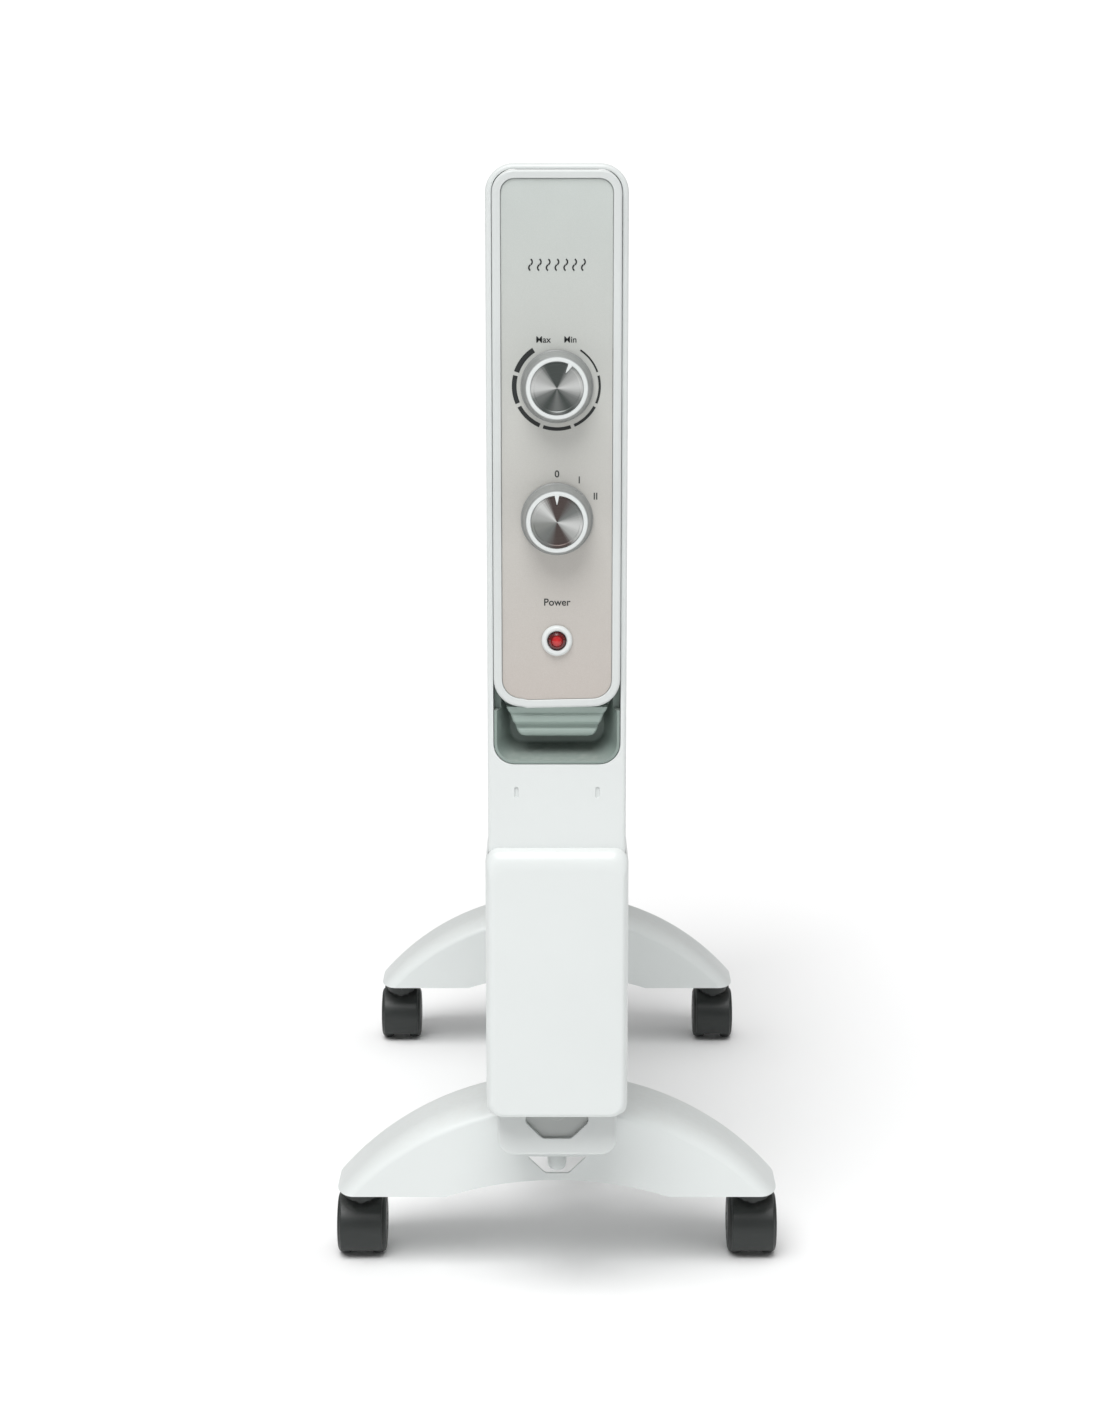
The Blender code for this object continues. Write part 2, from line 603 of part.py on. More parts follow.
def make_panel_bezel(materials, root):
    """Raised frame around the fascia, with the ribbed grip of the carrying handle under it."""

    def ring(depth, inset):
        return face_ring(
            depth, PANEL_HALF - inset, PANEL_BOTTOM + PANEL_BOW + inset, PANEL_TOP - inset,
            PANEL_BOTTOM_CORNER - inset, PANEL_TOP_CORNER - inset, bow=PANEL_BOW,
        )

    quarter = PANEL_EDGE * (1 - math.sqrt(0.5))
    bezel = loft("panel_bezel", [
        ring(-PANEL_PROUD, PANEL_EDGE), ring(-PANEL_PROUD + quarter, quarter),
        ring(-PANEL_PROUD + PANEL_EDGE, 0), ring(PANEL_REACH, 0),
    ])
    join(bezel, make_chin())
    seat = rounded_outline(
        FASCIA_HALF + GAP, FASCIA_BOTTOM + PANEL_BOW - GAP, FASCIA_TOP + GAP,
        FASCIA_BOTTOM_CORNER, FASCIA_TOP_CORNER, bow=PANEL_BOW,
    )
    inside = rounded_outline(
        PANEL_HALF - PANEL_WALL, PANEL_BOTTOM + PANEL_BOW + PANEL_WALL, PANEL_TOP - PANEL_WALL,
        PANEL_BOTTOM_CORNER - PANEL_WALL, PANEL_TOP_CORNER - PANEL_WALL,
    )
    cut(
        bezel,
        prism("bezel_seat", seat, -PANEL_PROUD - OVERSHOOT, SKIN_FRONT),
        prism("bezel_inside", inside, SKIN_BACK, PANEL_REACH + OVERSHOOT),
        *control_holes("bezel", -PANEL_PROUD - OVERSHOOT, PANEL_REACH + OVERSHOOT),
    )
    finish(bezel, "white_shell", materials, root)


def make_chin():
    """Wedge under the bezel, with two ribs across its face."""
    top = PANEL_BOTTOM + CHIN_OVERLAP
    sections = (
        # drop as a share of the chin's height, inset from the bezel's side, front depth, back depth
        (0.0, 3.5, -1.5, 7.5),
        (0.22, 6.0, 0.5, 8.5),
        (0.33, 8.5, 0.5, 9.0),
        (0.47, 10.0, 3.0, 9.5),
        (0.61, 11.0, 4.5, 10.0),
        (0.7, 11.5, 4.0, 10.5),
        (0.86, 13.5, 5.5, 11.0),
        (1.0, 19.0, 7.5, 11.0),
    )
    rings = []
    for drop, inset, front, back in sections:
        z = top - drop * (CHIN_DROP + CHIN_OVERLAP)
        half = PANEL_HALF - inset * MM
        near, far = depth_to_y(front * MM), depth_to_y(back * MM)
        rings.append([
            (-half, far, z), (-half, near + 1.5 * MM, z), (-half + 3 * MM, near, z),
            (half - 3 * MM, near, z), (half, near + 1.5 * MM, z), (half, far, z),
        ])
    return loft("bezel_chin", rings)


def make_fascia(materials, root):
    """Thin metal plate in the bezel."""
    outline = rounded_outline(
        FASCIA_HALF, FASCIA_BOTTOM + PANEL_BOW, FASCIA_TOP,
        FASCIA_BOTTOM_CORNER - GAP, FASCIA_TOP_CORNER - GAP, bow=PANEL_BOW,
    )
    plate = prism("fascia_plate", outline, FASCIA_FRONT, FASCIA_FRONT + FASCIA_THICKNESS)
    cut(plate, *control_holes("fascia", -15 * MM, 15 * MM))
    finish(plate, "silver_fascia", materials, root)


def make_handle_recess(materials, root):
    """Grey tray behind and below the bezel's grip, which the fingers go into."""
    half = OPENING_HALF - GAP
    low = RECESS_BOTTOM + GAP
    high = PANEL_BOTTOM + RECESS_RISE
    outer = rounded_outline(half, low, high, RECESS_CORNER - GAP, 3 * MM)
    inner = rounded_outline(
        half - RECESS_WALL, low + RECESS_WALL, high - RECESS_WALL,
        RECESS_CORNER - GAP - RECESS_WALL, 3 * MM - RECESS_WALL,
    )
    tray = prism("handle_recess", outer, GAP, RECESS_DEPTH)
    cut(
        tray,
        prism("recess_inside", inner, -OVERSHOOT, RECESS_DEPTH - RECESS_WALL),
        box("recess_bezel_clearance", (-2 * half, 2 * half), (-OVERSHOOT, PANEL_REACH + GAP),
            (PANEL_BOTTOM - GAP, high + OVERSHOOT)),
    )
    finish(tray, "grey_recess", materials, root)


# ---------------------------------------------------------------- controls
def make_control(name, device, z, half_width, half_height, depth, materials, root):
    """A rotary device with its bush, and the spindle, knob and cap that turn in it."""
    front = SKIN_BACK + 0.5 * MM
    bush_front = FASCIA_FRONT - 1.7 * MM
    spindle_back = front + 12 * MM
    body = box(device, (-half_width, half_width), (front, front + depth), (z - half_height, z + half_height))
    join(body, along_depth(device + "_bush", BUSH_RADIUS, 0, z, bush_front, front + 1 * MM))
    cut(body, along_depth(device + "_bore", SPINDLE_RADIUS + SPINDLE_PLAY, 0, z,
                          bush_front - OVERSHOOT, spindle_back + GAP))
    finish(body, "brown_insulator", materials, root)

    turning = pivot(name + "_axis", (0, depth_to_y(KNOB_BACK), z))
    bore_end = KNOB_FRONT + KNOB_CAP_THICKNESS + 1.6 * MM
    spindle = along_depth(name + "_spindle", SPINDLE_RADIUS, 0, z, spindle_back, bore_end + GAP)
    finish(spindle, "steel", materials, turning)

    seat = KNOB_CAP_RADIUS + GAP
    seat_floor = KNOB_HEIGHT - (KNOB_CAP_THICKNESS - KNOB_CAP_PROUD) - GAP
    web = KNOB_HEIGHT - KNOB_CAP_THICKNESS - 2.4 * MM
    hub = SPINDLE_RADIUS + 2.2 * MM
    hub_back = FASCIA_FRONT - bush_front + 0.4 * MM
    profile = [
        (0, seat_floor), (seat, seat_floor), (seat, KNOB_HEIGHT), (KNOB_FACE_RADIUS - 0.8 * MM, KNOB_HEIGHT),
        (KNOB_FACE_RADIUS, KNOB_HEIGHT - 0.8 * MM), (KNOB_BASE_RADIUS, 1.2 * MM),
        (KNOB_BASE_RADIUS, 0), (KNOB_BASE_RADIUS - KNOB_SKIRT, 0),
        (KNOB_FACE_RADIUS - KNOB_SKIRT, web), (hub, web), (hub, hub_back),
        (SPINDLE_RADIUS + 0.15 * MM, hub_back), (SPINDLE_RADIUS + 0.15 * MM, KNOB_BACK - bore_end),
        (0, KNOB_BACK - bore_end),
    ]
    knob = turned(name + "_knob", profile, (0, depth_to_y(KNOB_BACK), z), (0, -1, 0))
    finish(knob, "white_shell", materials, turning)

    cap_back = KNOB_FRONT + KNOB_CAP_THICKNESS - KNOB_CAP_PROUD
    cap = turned(
        name + "_knob_cap",
        [(0, 0), (KNOB_CAP_RADIUS, 0), (KNOB_CAP_RADIUS, KNOB_CAP_THICKNESS - 0.4 * MM),
         (KNOB_CAP_RADIUS - 0.4 * MM, KNOB_CAP_THICKNESS), (0, KNOB_CAP_THICKNESS)],
        (0, depth_to_y(cap_back), z), (0, -1, 0),
    )
    finish(cap, "spun_metal", materials, turning)


def make_pilot_light(materials, root):
    """White ring, red lens and the neon lamp behind it."""
    back = FASCIA_FRONT - GAP
    bore = PILOT_LENS + GAP
    chamfer = 1.2 * MM
    bezel = turned(
        "pilot_bezel",
        [(bore, -PILOT_NECK_LENGTH), (PILOT_NECK, -PILOT_NECK_LENGTH), (PILOT_NECK, 0), (PILOT_RADIUS, 0),
         (PILOT_RADIUS, PILOT_RING_HEIGHT - chamfer), (PILOT_RADIUS - chamfer, PILOT_RING_HEIGHT),
         (bore, PILOT_RING_HEIGHT), (bore, -PILOT_NECK_LENGTH)],
        (0, depth_to_y(back), PILOT_Z), (0, -1, 0),
    )
    finish(bezel, "white_shell", materials, root)
    lens = turned(
        "pilot_lens",
        [(0, -PILOT_NECK_LENGTH), (PILOT_LENS, -PILOT_NECK_LENGTH), (PILOT_LENS, PILOT_RING_HEIGHT),
         (PILOT_LENS * 0.8, PILOT_RING_HEIGHT * 1.5), (PILOT_LENS * 0.4, PILOT_LENS_HEIGHT * 0.95),
         (0, PILOT_LENS_HEIGHT)],
        (0, depth_to_y(back), PILOT_Z), (0, -1, 0),
    )
    finish(lens, "red_lens", materials, root)
    lamp = turned(
        "pilot_lamp",
        [(0, 0), (PILOT_LAMP_RADIUS * 0.67, PILOT_LAMP_RADIUS * 0.2), (PILOT_LAMP_RADIUS, PILOT_LAMP_RADIUS),
         (PILOT_LAMP_RADIUS, PILOT_LAMP_LENGTH), (0, PILOT_LAMP_LENGTH)],
        (0, depth_to_y(back + PILOT_NECK_LENGTH + 0.5 * MM), PILOT_Z), (0, 1, 0), 16,
    )
    finish(lamp, "lamp_glass", materials, root)


def make_safety_parts(materials, root):
    """Thermal cut-out against the first fin, and the terminal block on the back plate."""
    fin_face = FIRST_FIN - FIN_BULGE / 2 - GAP
    cutout = along_depth(
        "thermal_cutout", CUTOUT_RADIUS, 0, HEIGHT - CUTOUT_DROP, fin_face - CUTOUT_LENGTH, fin_face,
    )
    finish(cutout, "brown_insulator", materials, root)
    plate_front = HOUSING_DEPTH - BACK_PLATE_SINK - BACK_PLATE - GAP
    half = TERMINAL_BLOCK[0] / 2
    low = HOUSING_BOTTOM + TERMINAL_RISE
    block = box("terminal_block", (-half, half), (plate_front - TERMINAL_BLOCK[1], plate_front),
                (low, low + TERMINAL_BLOCK[2]))
    finish(block, "brown_insulator", materials, root)


# ---------------------------------------------------------------- oil body
def fin_body(name, front_boss, back_boss, open_front, open_back):
    """One hollow fin: seam, oil channel, bosses at both collectors, and the oil space in it.

    open_front and open_back hold the collectors' heights whose bore is open on that side.
    """
    middle = (FIN_BOTTOM + FIN_TOP) / 2

    def ring(offset, inset, corner):
        outline = rounded_outline(
            FIN_WIDTH / 2 - inset, FIN_BOTTOM + inset, FIN_TOP - inset, corner, corner, steps=2,
        )
        return [(x, offset, z) for x, z in outline]

    seam = FIN_SEAM_THICKNESS / 2
    bulge = FIN_BULGE / 2
    foot_inset = FIN_SEAM_WIDTH
    top_inset = FIN_SEAM_WIDTH + FIN_SHOULDER
    foot_corner = FIN_CORNER - 4 * MM
    half = [
        ring(seam, 0, FIN_CORNER), ring(seam, foot_inset, foot_corner),
        ring(bulge, top_inset, foot_corner - 2 * MM),
    ]
    mirrored = [[(x, -y, z) for x, y, z in one] for one in reversed(half)]
    fin = loft(name, mirrored + half)

    space_half = bulge - FIN_SHEET
    space = [
        ring(-space_half, top_inset, foot_corner - 2 * MM),
        ring(space_half, top_inset, foot_corner - 2 * MM),
    ]
    tools = [loft(name + "_oil_space", space)]
    for z in (LOW_COLLECTOR_Z, TOP_COLLECTOR_Z):
        boss = rod(f"{name}_boss_{z > middle}", COLLECTOR_RADIUS, (0, -front_boss, z), (0, back_boss, z),
                   BAR_SIDES, half_step=True)
        join(fin, boss)
        near = -front_boss - OVERSHOOT if z in open_front else -front_boss + 2 * FIN_SHEET
        far = back_boss + OVERSHOOT if z in open_back else back_boss - 2 * FIN_SHEET
        tools.append(rod(f"{name}_bore_{z > middle}", COLLECTOR_BORE, (0, near, z), (0, far, z),
                         BAR_SIDES))
    cut(fin, *tools)
    return fin


def make_fins(materials, root):
    """The row of fins. The element goes into the first one, and the last one has the filler."""
    both = (LOW_COLLECTOR_Z, TOP_COLLECTOR_Z)
    reach = FIN_PITCH / 2 - GAP / 2
    for number in range(1, FIN_COUNT + 1):
        name = f"fin_{number:02d}"
        first, last = number == 1, number == FIN_COUNT
        fin = fin_body(
            name,
            END_BOSS if first else reach,
            END_BOSS if last else reach,
            (LOW_COLLECTOR_Z,) if first else both,
            () if last else both,
        )
        fin.location.y = depth_to_y(FIRST_FIN + (number - 1) * FIN_PITCH)
        for modifier in fin.modifiers:
            modifier.object.location.y = fin.location.y
        finish(fin, "white_enamel", materials, root)


def make_heating_element(materials, root):
    """Hairpin tube in the lower collector, brazed into its flange, with two terminal pins."""
    back = FIRST_FIN - END_BOSS - GAP
    tip = LAST_FIN - ELEMENT_END_CLEAR
    start = back - 3 * MM
    path = [(0, depth_to_y(start), LOW_COLLECTOR_Z + ELEMENT_SPREAD)]
    for step in range(9):
        angle = math.radians(90 - 180 * step / 8)
        path.append((
            0, depth_to_y(tip - ELEMENT_SPREAD + ELEMENT_SPREAD * math.cos(angle)),
            LOW_COLLECTOR_Z + ELEMENT_SPREAD * math.sin(angle),
        ))
    path.append((0, depth_to_y(start), LOW_COLLECTOR_Z - ELEMENT_SPREAD))
    flange = along_depth("heating_element", ELEMENT_FLANGE, 0, LOW_COLLECTOR_Z,
                         back - ELEMENT_FLANGE_THICKNESS, back, 24)
    hairpin = tube_along("element_hairpin", path, ELEMENT_TUBE)
    join(flange, hairpin)
    for side in (-1, 1):
        z = LOW_COLLECTOR_Z + side * ELEMENT_SPREAD
        join(flange, along_depth(f"element_pin_{side}", ELEMENT_PIN, 0, z,
                                 back - ELEMENT_PIN_REACH, back - ELEMENT_FLANGE_THICKNESS + 1 * MM,
                                 BAR_SIDES))
    finish(flange, "steel", materials, root)


def make_filler_plug(materials, root):
    """Hexagonal plug in the last fin."""
    face = LAST_FIN + END_BOSS + GAP
    plug = along_depth("filler_plug", PLUG_RADIUS, 0, TOP_COLLECTOR_Z, face, REAR_END, 6)
    finish(plug, "steel", materials, root, smooth=False)


# ---------------------------------------------------------------- feet
def foot_outline(inset, floor):
    """The arched foot seen from the front, from one end over the top to the other end."""
    radius = FOOT_ARC - inset
    end_height = FOOT_END + FOOT_ARC_DROP
    start = math.asin(end_height / radius)
    half = radius * math.cos(start)
    points = [(half - FOOT_END_CUT, floor)]
    steps = 14
    for step in range(steps + 1):
        angle = start + (math.pi - 2 * start) * step / steps
        points.append((radius * math.cos(angle), FOOT_BASE - FOOT_ARC_DROP + radius * math.sin(angle)))
    points.append((-half + FOOT_END_CUT, floor))
    return points


def foot_arch():
    """Points of the low arch in the foot's underside."""
    points = []
    for step in range(7):
        x = FOOT_ARCH_HALF * (step / 3 - 1)
        points.append((x, FOOT_BASE + FOOT_ARCH_RISE * (1 - (x / FOOT_ARCH_HALF) ** 2)))
    return points


def foot_rounding(share):
    """Depth and height given up at one step of the rounding between face and arched top."""
    angle = math.radians(90 * share)
    return FOOT_ROUND_DEEP * (1 - math.cos(angle)), FOOT_ROUND_HIGH * (1 - math.sin(angle))


def make_foot(name, depth, materials, root):
    """Hollow moulded foot: a well for two fins, a web under it for the fixing, castor sockets."""
    near, far = depth - FOOT_THICKNESS / 2, depth + FOOT_THICKNESS / 2

    def ring(at, outline):
        return [(x, depth_to_y(at), z) for x, z in outline]

    shares = (0.0, 0.35, 0.7, 1.0)
    given = [foot_rounding(share) for share in shares]
    rings = [ring(near + deep, foot_outline(high, FOOT_BASE) + foot_arch()) for deep, high in given]
    rings += [
        ring(far - deep, foot_outline(high, FOOT_BASE) + foot_arch()) for deep, high in reversed(given)
    ]
    foot = loft(name, rings)

    coarse = (given[0], given[2], given[3])
    below = FOOT_BASE - OVERSHOOT
    hollow = [ring(near + FOOT_WALL + deep, foot_outline(high + FOOT_WALL, below)) for deep, high in coarse]
    hollow += [
        ring(far - FOOT_WALL - deep, foot_outline(high + FOOT_WALL, below))
        for deep, high in reversed(coarse)
    ]
    cavity = loft(name + "_cavity", hollow)
    block = FIN_WELL_HALF + FOOT_WALL
    y = depth_to_y(depth)
    cut(cavity, box(name + "_well_block", (-block, block), (near - OVERSHOOT, far + OVERSHOOT),
                    (WEB_TOP - WEB_THICKNESS, WEB_TOP + CLEAR_OF_FOOT)))
    stem_holes = []
    for side in (-1, 1):
        x = side * CASTOR_SPACING / 2
        cut(cavity, rod(f"{name}_socket_{side}", SOCKET_RADIUS, (x, y, FOOT_BASE - 2 * OVERSHOOT),
                        (x, y, WEB_TOP + CLEAR_OF_FOOT), BAR_SIDES))
        stem_holes.append(rod(
            f"{name}_stem_hole_{side}", STEM_RADIUS + GAP, (x, y, FOOT_BASE - 2 * OVERSHOOT),
            (x, y, FOOT_BASE + STEM_IN_FOOT + GAP), BAR_SIDES,
        ))
    window = [
        (-WINDOW_BOTTOM_WIDTH / 2, WINDOW_BOTTOM), (WINDOW_BOTTOM_WIDTH / 2, WINDOW_BOTTOM),
        (WINDOW_TOP_WIDTH / 2, WINDOW_TOP), (-WINDOW_TOP_WIDTH / 2, WINDOW_TOP),
    ]
    cut(
        foot, cavity,
        box(name + "_fin_well", (-FIN_WELL_HALF, FIN_WELL_HALF), (near + FOOT_WALL, far - FOOT_WALL),
            (WEB_TOP, WEB_TOP + CLEAR_OF_FOOT)),
        prism(name + "_boss_notch", notch_outline(), near - OVERSHOOT, far + OVERSHOOT),
        rod(name + "_stud_hole", STUD_RADIUS + GAP, (0, y, FOOT_BASE), (0, y, WEB_TOP + OVERSHOOT),
            BAR_SIDES),
        prism(name + "_window", window, near - OVERSHOOT, near + FOOT_WALL + OVERSHOOT),
        *stem_holes,
    )
    finish(foot, "white_shell", materials, root)


def notch_outline():
    """U-shaped way in for the lower collector, open at the top."""
    radius = COLLECTOR_RADIUS + 2 * GAP
    top = WEB_TOP + CLEAR_OF_FOOT
    points = [(radius, top), (-radius, top)]
    for step in range(11):
        angle = math.pi + math.pi * step / 10
        points.append((radius * math.cos(angle), LOW_COLLECTOR_Z + radius * math.sin(angle)))
    return points


def make_foot_fixing(prefix, depth, materials, root):
    """Stud welded under the collector, and the white nut that draws the foot up to it."""
    y = depth_to_y(depth)
    top = LOW_COLLECTOR_Z - COLLECTOR_RADIUS - GAP
    nut_top = WEB_TOP - WEB_THICKNESS - GAP
    length = top - nut_top + NUT_HEIGHT - NUT_END
    collar = NUT_RADIUS + NUT_COLLAR
    hole_end = NUT_HEIGHT - NUT_END + GAP
    stud = turned(
        prefix + "_foot_stud",
        [(0, 0), (STUD_FLANGE, 0), (STUD_FLANGE, STUD_FLANGE_THICKNESS),
         (STUD_RADIUS, STUD_FLANGE_THICKNESS), (STUD_RADIUS, length), (0, length)],
        (0, y, top), (0, 0, -1), 16,
    )
    finish(stud, "steel", materials, root)
    bore = STUD_RADIUS + 0.15 * MM
    nut = turned(
        prefix + "_foot_nut",
        [(bore, 0), (collar, 0), (collar, NUT_COLLAR), (NUT_RADIUS, NUT_COLLAR + 0.4 * MM),
         (NUT_RADIUS, NUT_HEIGHT - NUT_END), (NUT_RADIUS - NUT_END, NUT_HEIGHT), (0, NUT_HEIGHT),
         (0, hole_end), (bore, hole_end), (bore, 0)],
        (0, y, nut_top), (0, 0, -1), 16,
    )
    finish(nut, "white_shell", materials, root)


# ---------------------------------------------------------------- castors
def make_castor(place, x, depth, materials, root):
    """Twin-wheel castor: fixed stem, swivelling hood with its axle, and two wheels."""
    y = depth_to_y(depth)
    axle_y = y + CASTOR_TRAIL
    stem_bottom = WHEEL_RADIUS + 9 * MM

    stem = rod(place + "_castor_stem", STEM_RADIUS, (x, y, stem_bottom), (x, y, FOOT_BASE + STEM_IN_FOOT),
               BAR_SIDES)
    finish(stem, "steel", materials, root)

    swivel = pivot(place + "_castor_swivel", (x, y, 0))
    hood = make_hood(place, x, y, axle_y, stem_bottom)
    finish(hood, "black_plastic", materials, swivel)

    reach = WHEEL_GAP / 2 + WHEEL_WIDTH - 3 * MM
    axle = rod(place + "_castor_axle", AXLE_RADIUS, (x - reach, axle_y, WHEEL_RADIUS),
               (x + reach, axle_y, WHEEL_RADIUS), 12)
    finish(axle, "steel", materials, swivel)

    bore = AXLE_RADIUS + AXLE_PLAY
    rim = WHEEL_RADIUS / math.cos(math.pi / ROUND_SIDES)
    for side, word in ((-1, "left"), (1, "right")):
        inner = WHEEL_GAP / 2
        profile = [
            (bore, 0), (rim - 1.2 * MM, 0), (rim, 1.2 * MM), (rim, WHEEL_WIDTH - 2.5 * MM),
            (rim - 2.5 * MM, WHEEL_WIDTH - 0.6 * MM), (0, WHEEL_WIDTH),
            (0, reach - inner + GAP), (bore, reach - inner + GAP), (bore, 0),
        ]
        spin = pivot(f"{place}_castor_{word}_spin", (x + side * inner, axle_y, WHEEL_RADIUS), swivel)
        wheel = turned(
            f"{place}_castor_wheel_{word}", profile, (x + side * inner, axle_y, WHEEL_RADIUS),
            (side, 0, 0), half_step=True,
        )
        finish(wheel, "black_plastic", materials, spin)


def make_hood(place, x, y, axle_y, stem_bottom):
    """Curved cover over the two wheels, with the web between them and the collar for the stem."""
    inner = WHEEL_RADIUS + HOOD_PLAY
    outer = inner + HOOD_THICKNESS
    half = HOOD_WIDTH / 2
    steps = 8
    arc = [
        math.radians(-HOOD_FRONT_DIP + (HOOD_BACK + HOOD_FRONT_DIP) * step / steps)
        for step in range(steps + 1)
    ]
    section = [(-outer * math.cos(a), outer * math.sin(a)) for a in arc]
    section += [(-inner * math.cos(a), inner * math.sin(a)) for a in reversed(arc)]
    rings = [[(side * half + x, axle_y + v, WHEEL_RADIUS + w) for v, w in section] for side in (-1, 1)]
    hood = loft(place + "_castor_hood", rings)
    web_half = WHEEL_GAP / 2 - 0.5 * MM
    web = rod(place + "_hood_web", inner + 0.8 * MM, (x - web_half, axle_y, WHEEL_RADIUS),
              (x + web_half, axle_y, WHEEL_RADIUS), 16)
    trim = WHEEL_RADIUS - 13.5 * MM
    cut(web, box_y(place + "_web_trim", (x - half, x + half), (axle_y - outer * 2, axle_y + outer * 2),
                   (-OVERSHOOT, trim)))
    boss = rod(place + "_hood_boss", STEM_BOSS, (x, y, stem_bottom - 3 * MM), (x, y, COLLAR_TOP - 2 * MM),
               BAR_SIDES)
    collar_bottom = COLLAR_TOP - COLLAR_HEIGHT - HOOD_THICKNESS / 2
    collar = rod(place + "_hood_collar", COLLAR_RADIUS, (x, y, collar_bottom), (x, y, COLLAR_TOP), 16)
    join(hood, web, boss, collar)
    cut(
        hood,
        rod(place + "_hood_stem_bore", STEM_RADIUS + STEM_PLAY, (x, y, stem_bottom - GAP),
            (x, y, FOOT_BASE + 20 * MM), BAR_SIDES),
        rod(place + "_hood_axle_bore", AXLE_RADIUS + GAP, (x - half - OVERSHOOT, axle_y, WHEEL_RADIUS),
            (x + half + OVERSHOOT, axle_y, WHEEL_RADIUS), 12),
    )
    return hood


def box_y(name, x, y, z):
    """A block from pairs of limits along X, Y and Z."""
    outline = [(x[0], z[0]), (x[1], z[0]), (x[1], z[1]), (x[0], z[1])]
    shift = depth_to_y(0)
    return prism(name, outline, y[0] - shift, y[1] - shift)


# ---------------------------------------------------------------- assembly
def main():
    for old in list(bpy.data.objects):
        bpy.data.objects.remove(old)
    materials = make_materials()
    root = pivot("radiator", (0, 0, 0))

    make_control_housing(materials, root)
    make_back_plate(materials, root)
    make_lower_housing(materials, root)
    make_cord_gland(materials, root)
    make_cord_cover(materials, root)
    make_panel_bezel(materials, root)
    make_fascia(materials, root)
    make_handle_recess(materials, root)
    make_control("thermostat", "thermostat_body", THERMOSTAT_Z, 15 * MM, 17 * MM, 26 * MM, materials, root)
    make_control("selector", "selector_switch", SELECTOR_Z, 14 * MM, 14 * MM, 20 * MM, materials, root)
    make_pilot_light(materials, root)
    make_safety_parts(materials, root)
    make_fins(materials, root)
    make_heating_element(materials, root)
    make_filler_plug(materials, root)
    for prefix, depth in (("front", FRONT_FOOT), ("rear", REAR_FOOT)):
        make_foot(prefix + "_foot", depth, materials, root)
        make_foot_fixing(prefix, depth, materials, root)
        for side, word in ((-1, "left"), (1, "right")):
            make_castor(f"{prefix}_{word}", side * CASTOR_SPACING / 2, depth, materials, root)


main()
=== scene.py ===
"""Oil filled radiator heater: the looks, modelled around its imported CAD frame."""

import contextlib
import math

import bmesh
import bpy
from mathutils import Matrix, Vector


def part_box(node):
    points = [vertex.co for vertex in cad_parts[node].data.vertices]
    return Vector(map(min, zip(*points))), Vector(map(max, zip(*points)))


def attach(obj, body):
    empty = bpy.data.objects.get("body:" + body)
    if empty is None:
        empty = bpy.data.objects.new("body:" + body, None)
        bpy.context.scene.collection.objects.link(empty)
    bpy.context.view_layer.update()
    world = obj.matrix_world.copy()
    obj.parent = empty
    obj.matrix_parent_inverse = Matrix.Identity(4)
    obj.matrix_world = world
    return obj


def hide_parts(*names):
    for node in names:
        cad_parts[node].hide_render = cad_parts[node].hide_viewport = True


bl_info = {
    "name": "Oil Filled Radiator Heater",
    "version": (1, 0, 0),
    "blender": (4, 5, 0),
    "location": "3D View > Sidebar > Heater",
    "description": "Models a column of an oil filled radiator heater around its fixed frame",
    "category": "Add Mesh",
}

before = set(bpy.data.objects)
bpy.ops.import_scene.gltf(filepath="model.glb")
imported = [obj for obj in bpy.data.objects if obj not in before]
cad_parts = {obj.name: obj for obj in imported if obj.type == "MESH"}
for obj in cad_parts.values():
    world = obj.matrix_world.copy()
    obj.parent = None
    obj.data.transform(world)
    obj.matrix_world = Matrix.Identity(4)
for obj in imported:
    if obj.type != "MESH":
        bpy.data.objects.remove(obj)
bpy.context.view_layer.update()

MM = 0.001
OVERSHOOT = 5 * MM  # how far a cutter runs past what it cuts
PLAY = 0.3 * MM  # kept between pieces that touch
PANEL_HEIGHT = 286 * MM
COLLECTOR_INSET = 33 * MM  # from a fin's end to its collector's axis
COLLECTOR_RADIUS = 19  # millimetres
NOTCH_RADIUS = 19.6 * MM  # the way for the collector into a foot
CLEAR_OF_FOOT = 90 * MM  # height of what cuts a foot open from above
FACING = Vector((0, -1, 0))
ROOT = "radiator"
CORNERS = [end + side for end in ("front_", "rear_") for side in ("left", "right")]
FIN_NAMES = sorted(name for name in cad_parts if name.startswith("fin_"))


def middle_of(node):
    """The middle of a CAD node's box."""
    low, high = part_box(node)
    return (low + high) / 2


HOUSING_LOW, HOUSING_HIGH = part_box("control_housing")
FACE_Y = HOUSING_LOW.y


def behind(depth):
    """Place along Y of a depth in millimetres behind the housing's front face."""
    return FACE_Y + depth * MM


# ---------------------------------------------------------------- sizes and colours
def length(name, description, default):
    """A size in metres that the sidebar shows with its unit."""
    return bpy.props.FloatProperty(
        name=name, description=description, default=default, min=0.0, unit="LENGTH", precision=4,
    )


def colour(name, description, red, green, blue):
    """A colour given as eight-bit screen values, kept as the linear ones that shaders use."""

    def linear(value):
        share = value / 255
        return share / 12.92 if share <= 0.04045 else ((share + 0.055) / 1.055) ** 2.4

    return bpy.props.FloatVectorProperty(
        name=name, description=description, subtype="COLOR", size=3, min=0.0, max=1.0,
        default=(linear(red), linear(green), linear(blue)),
    )


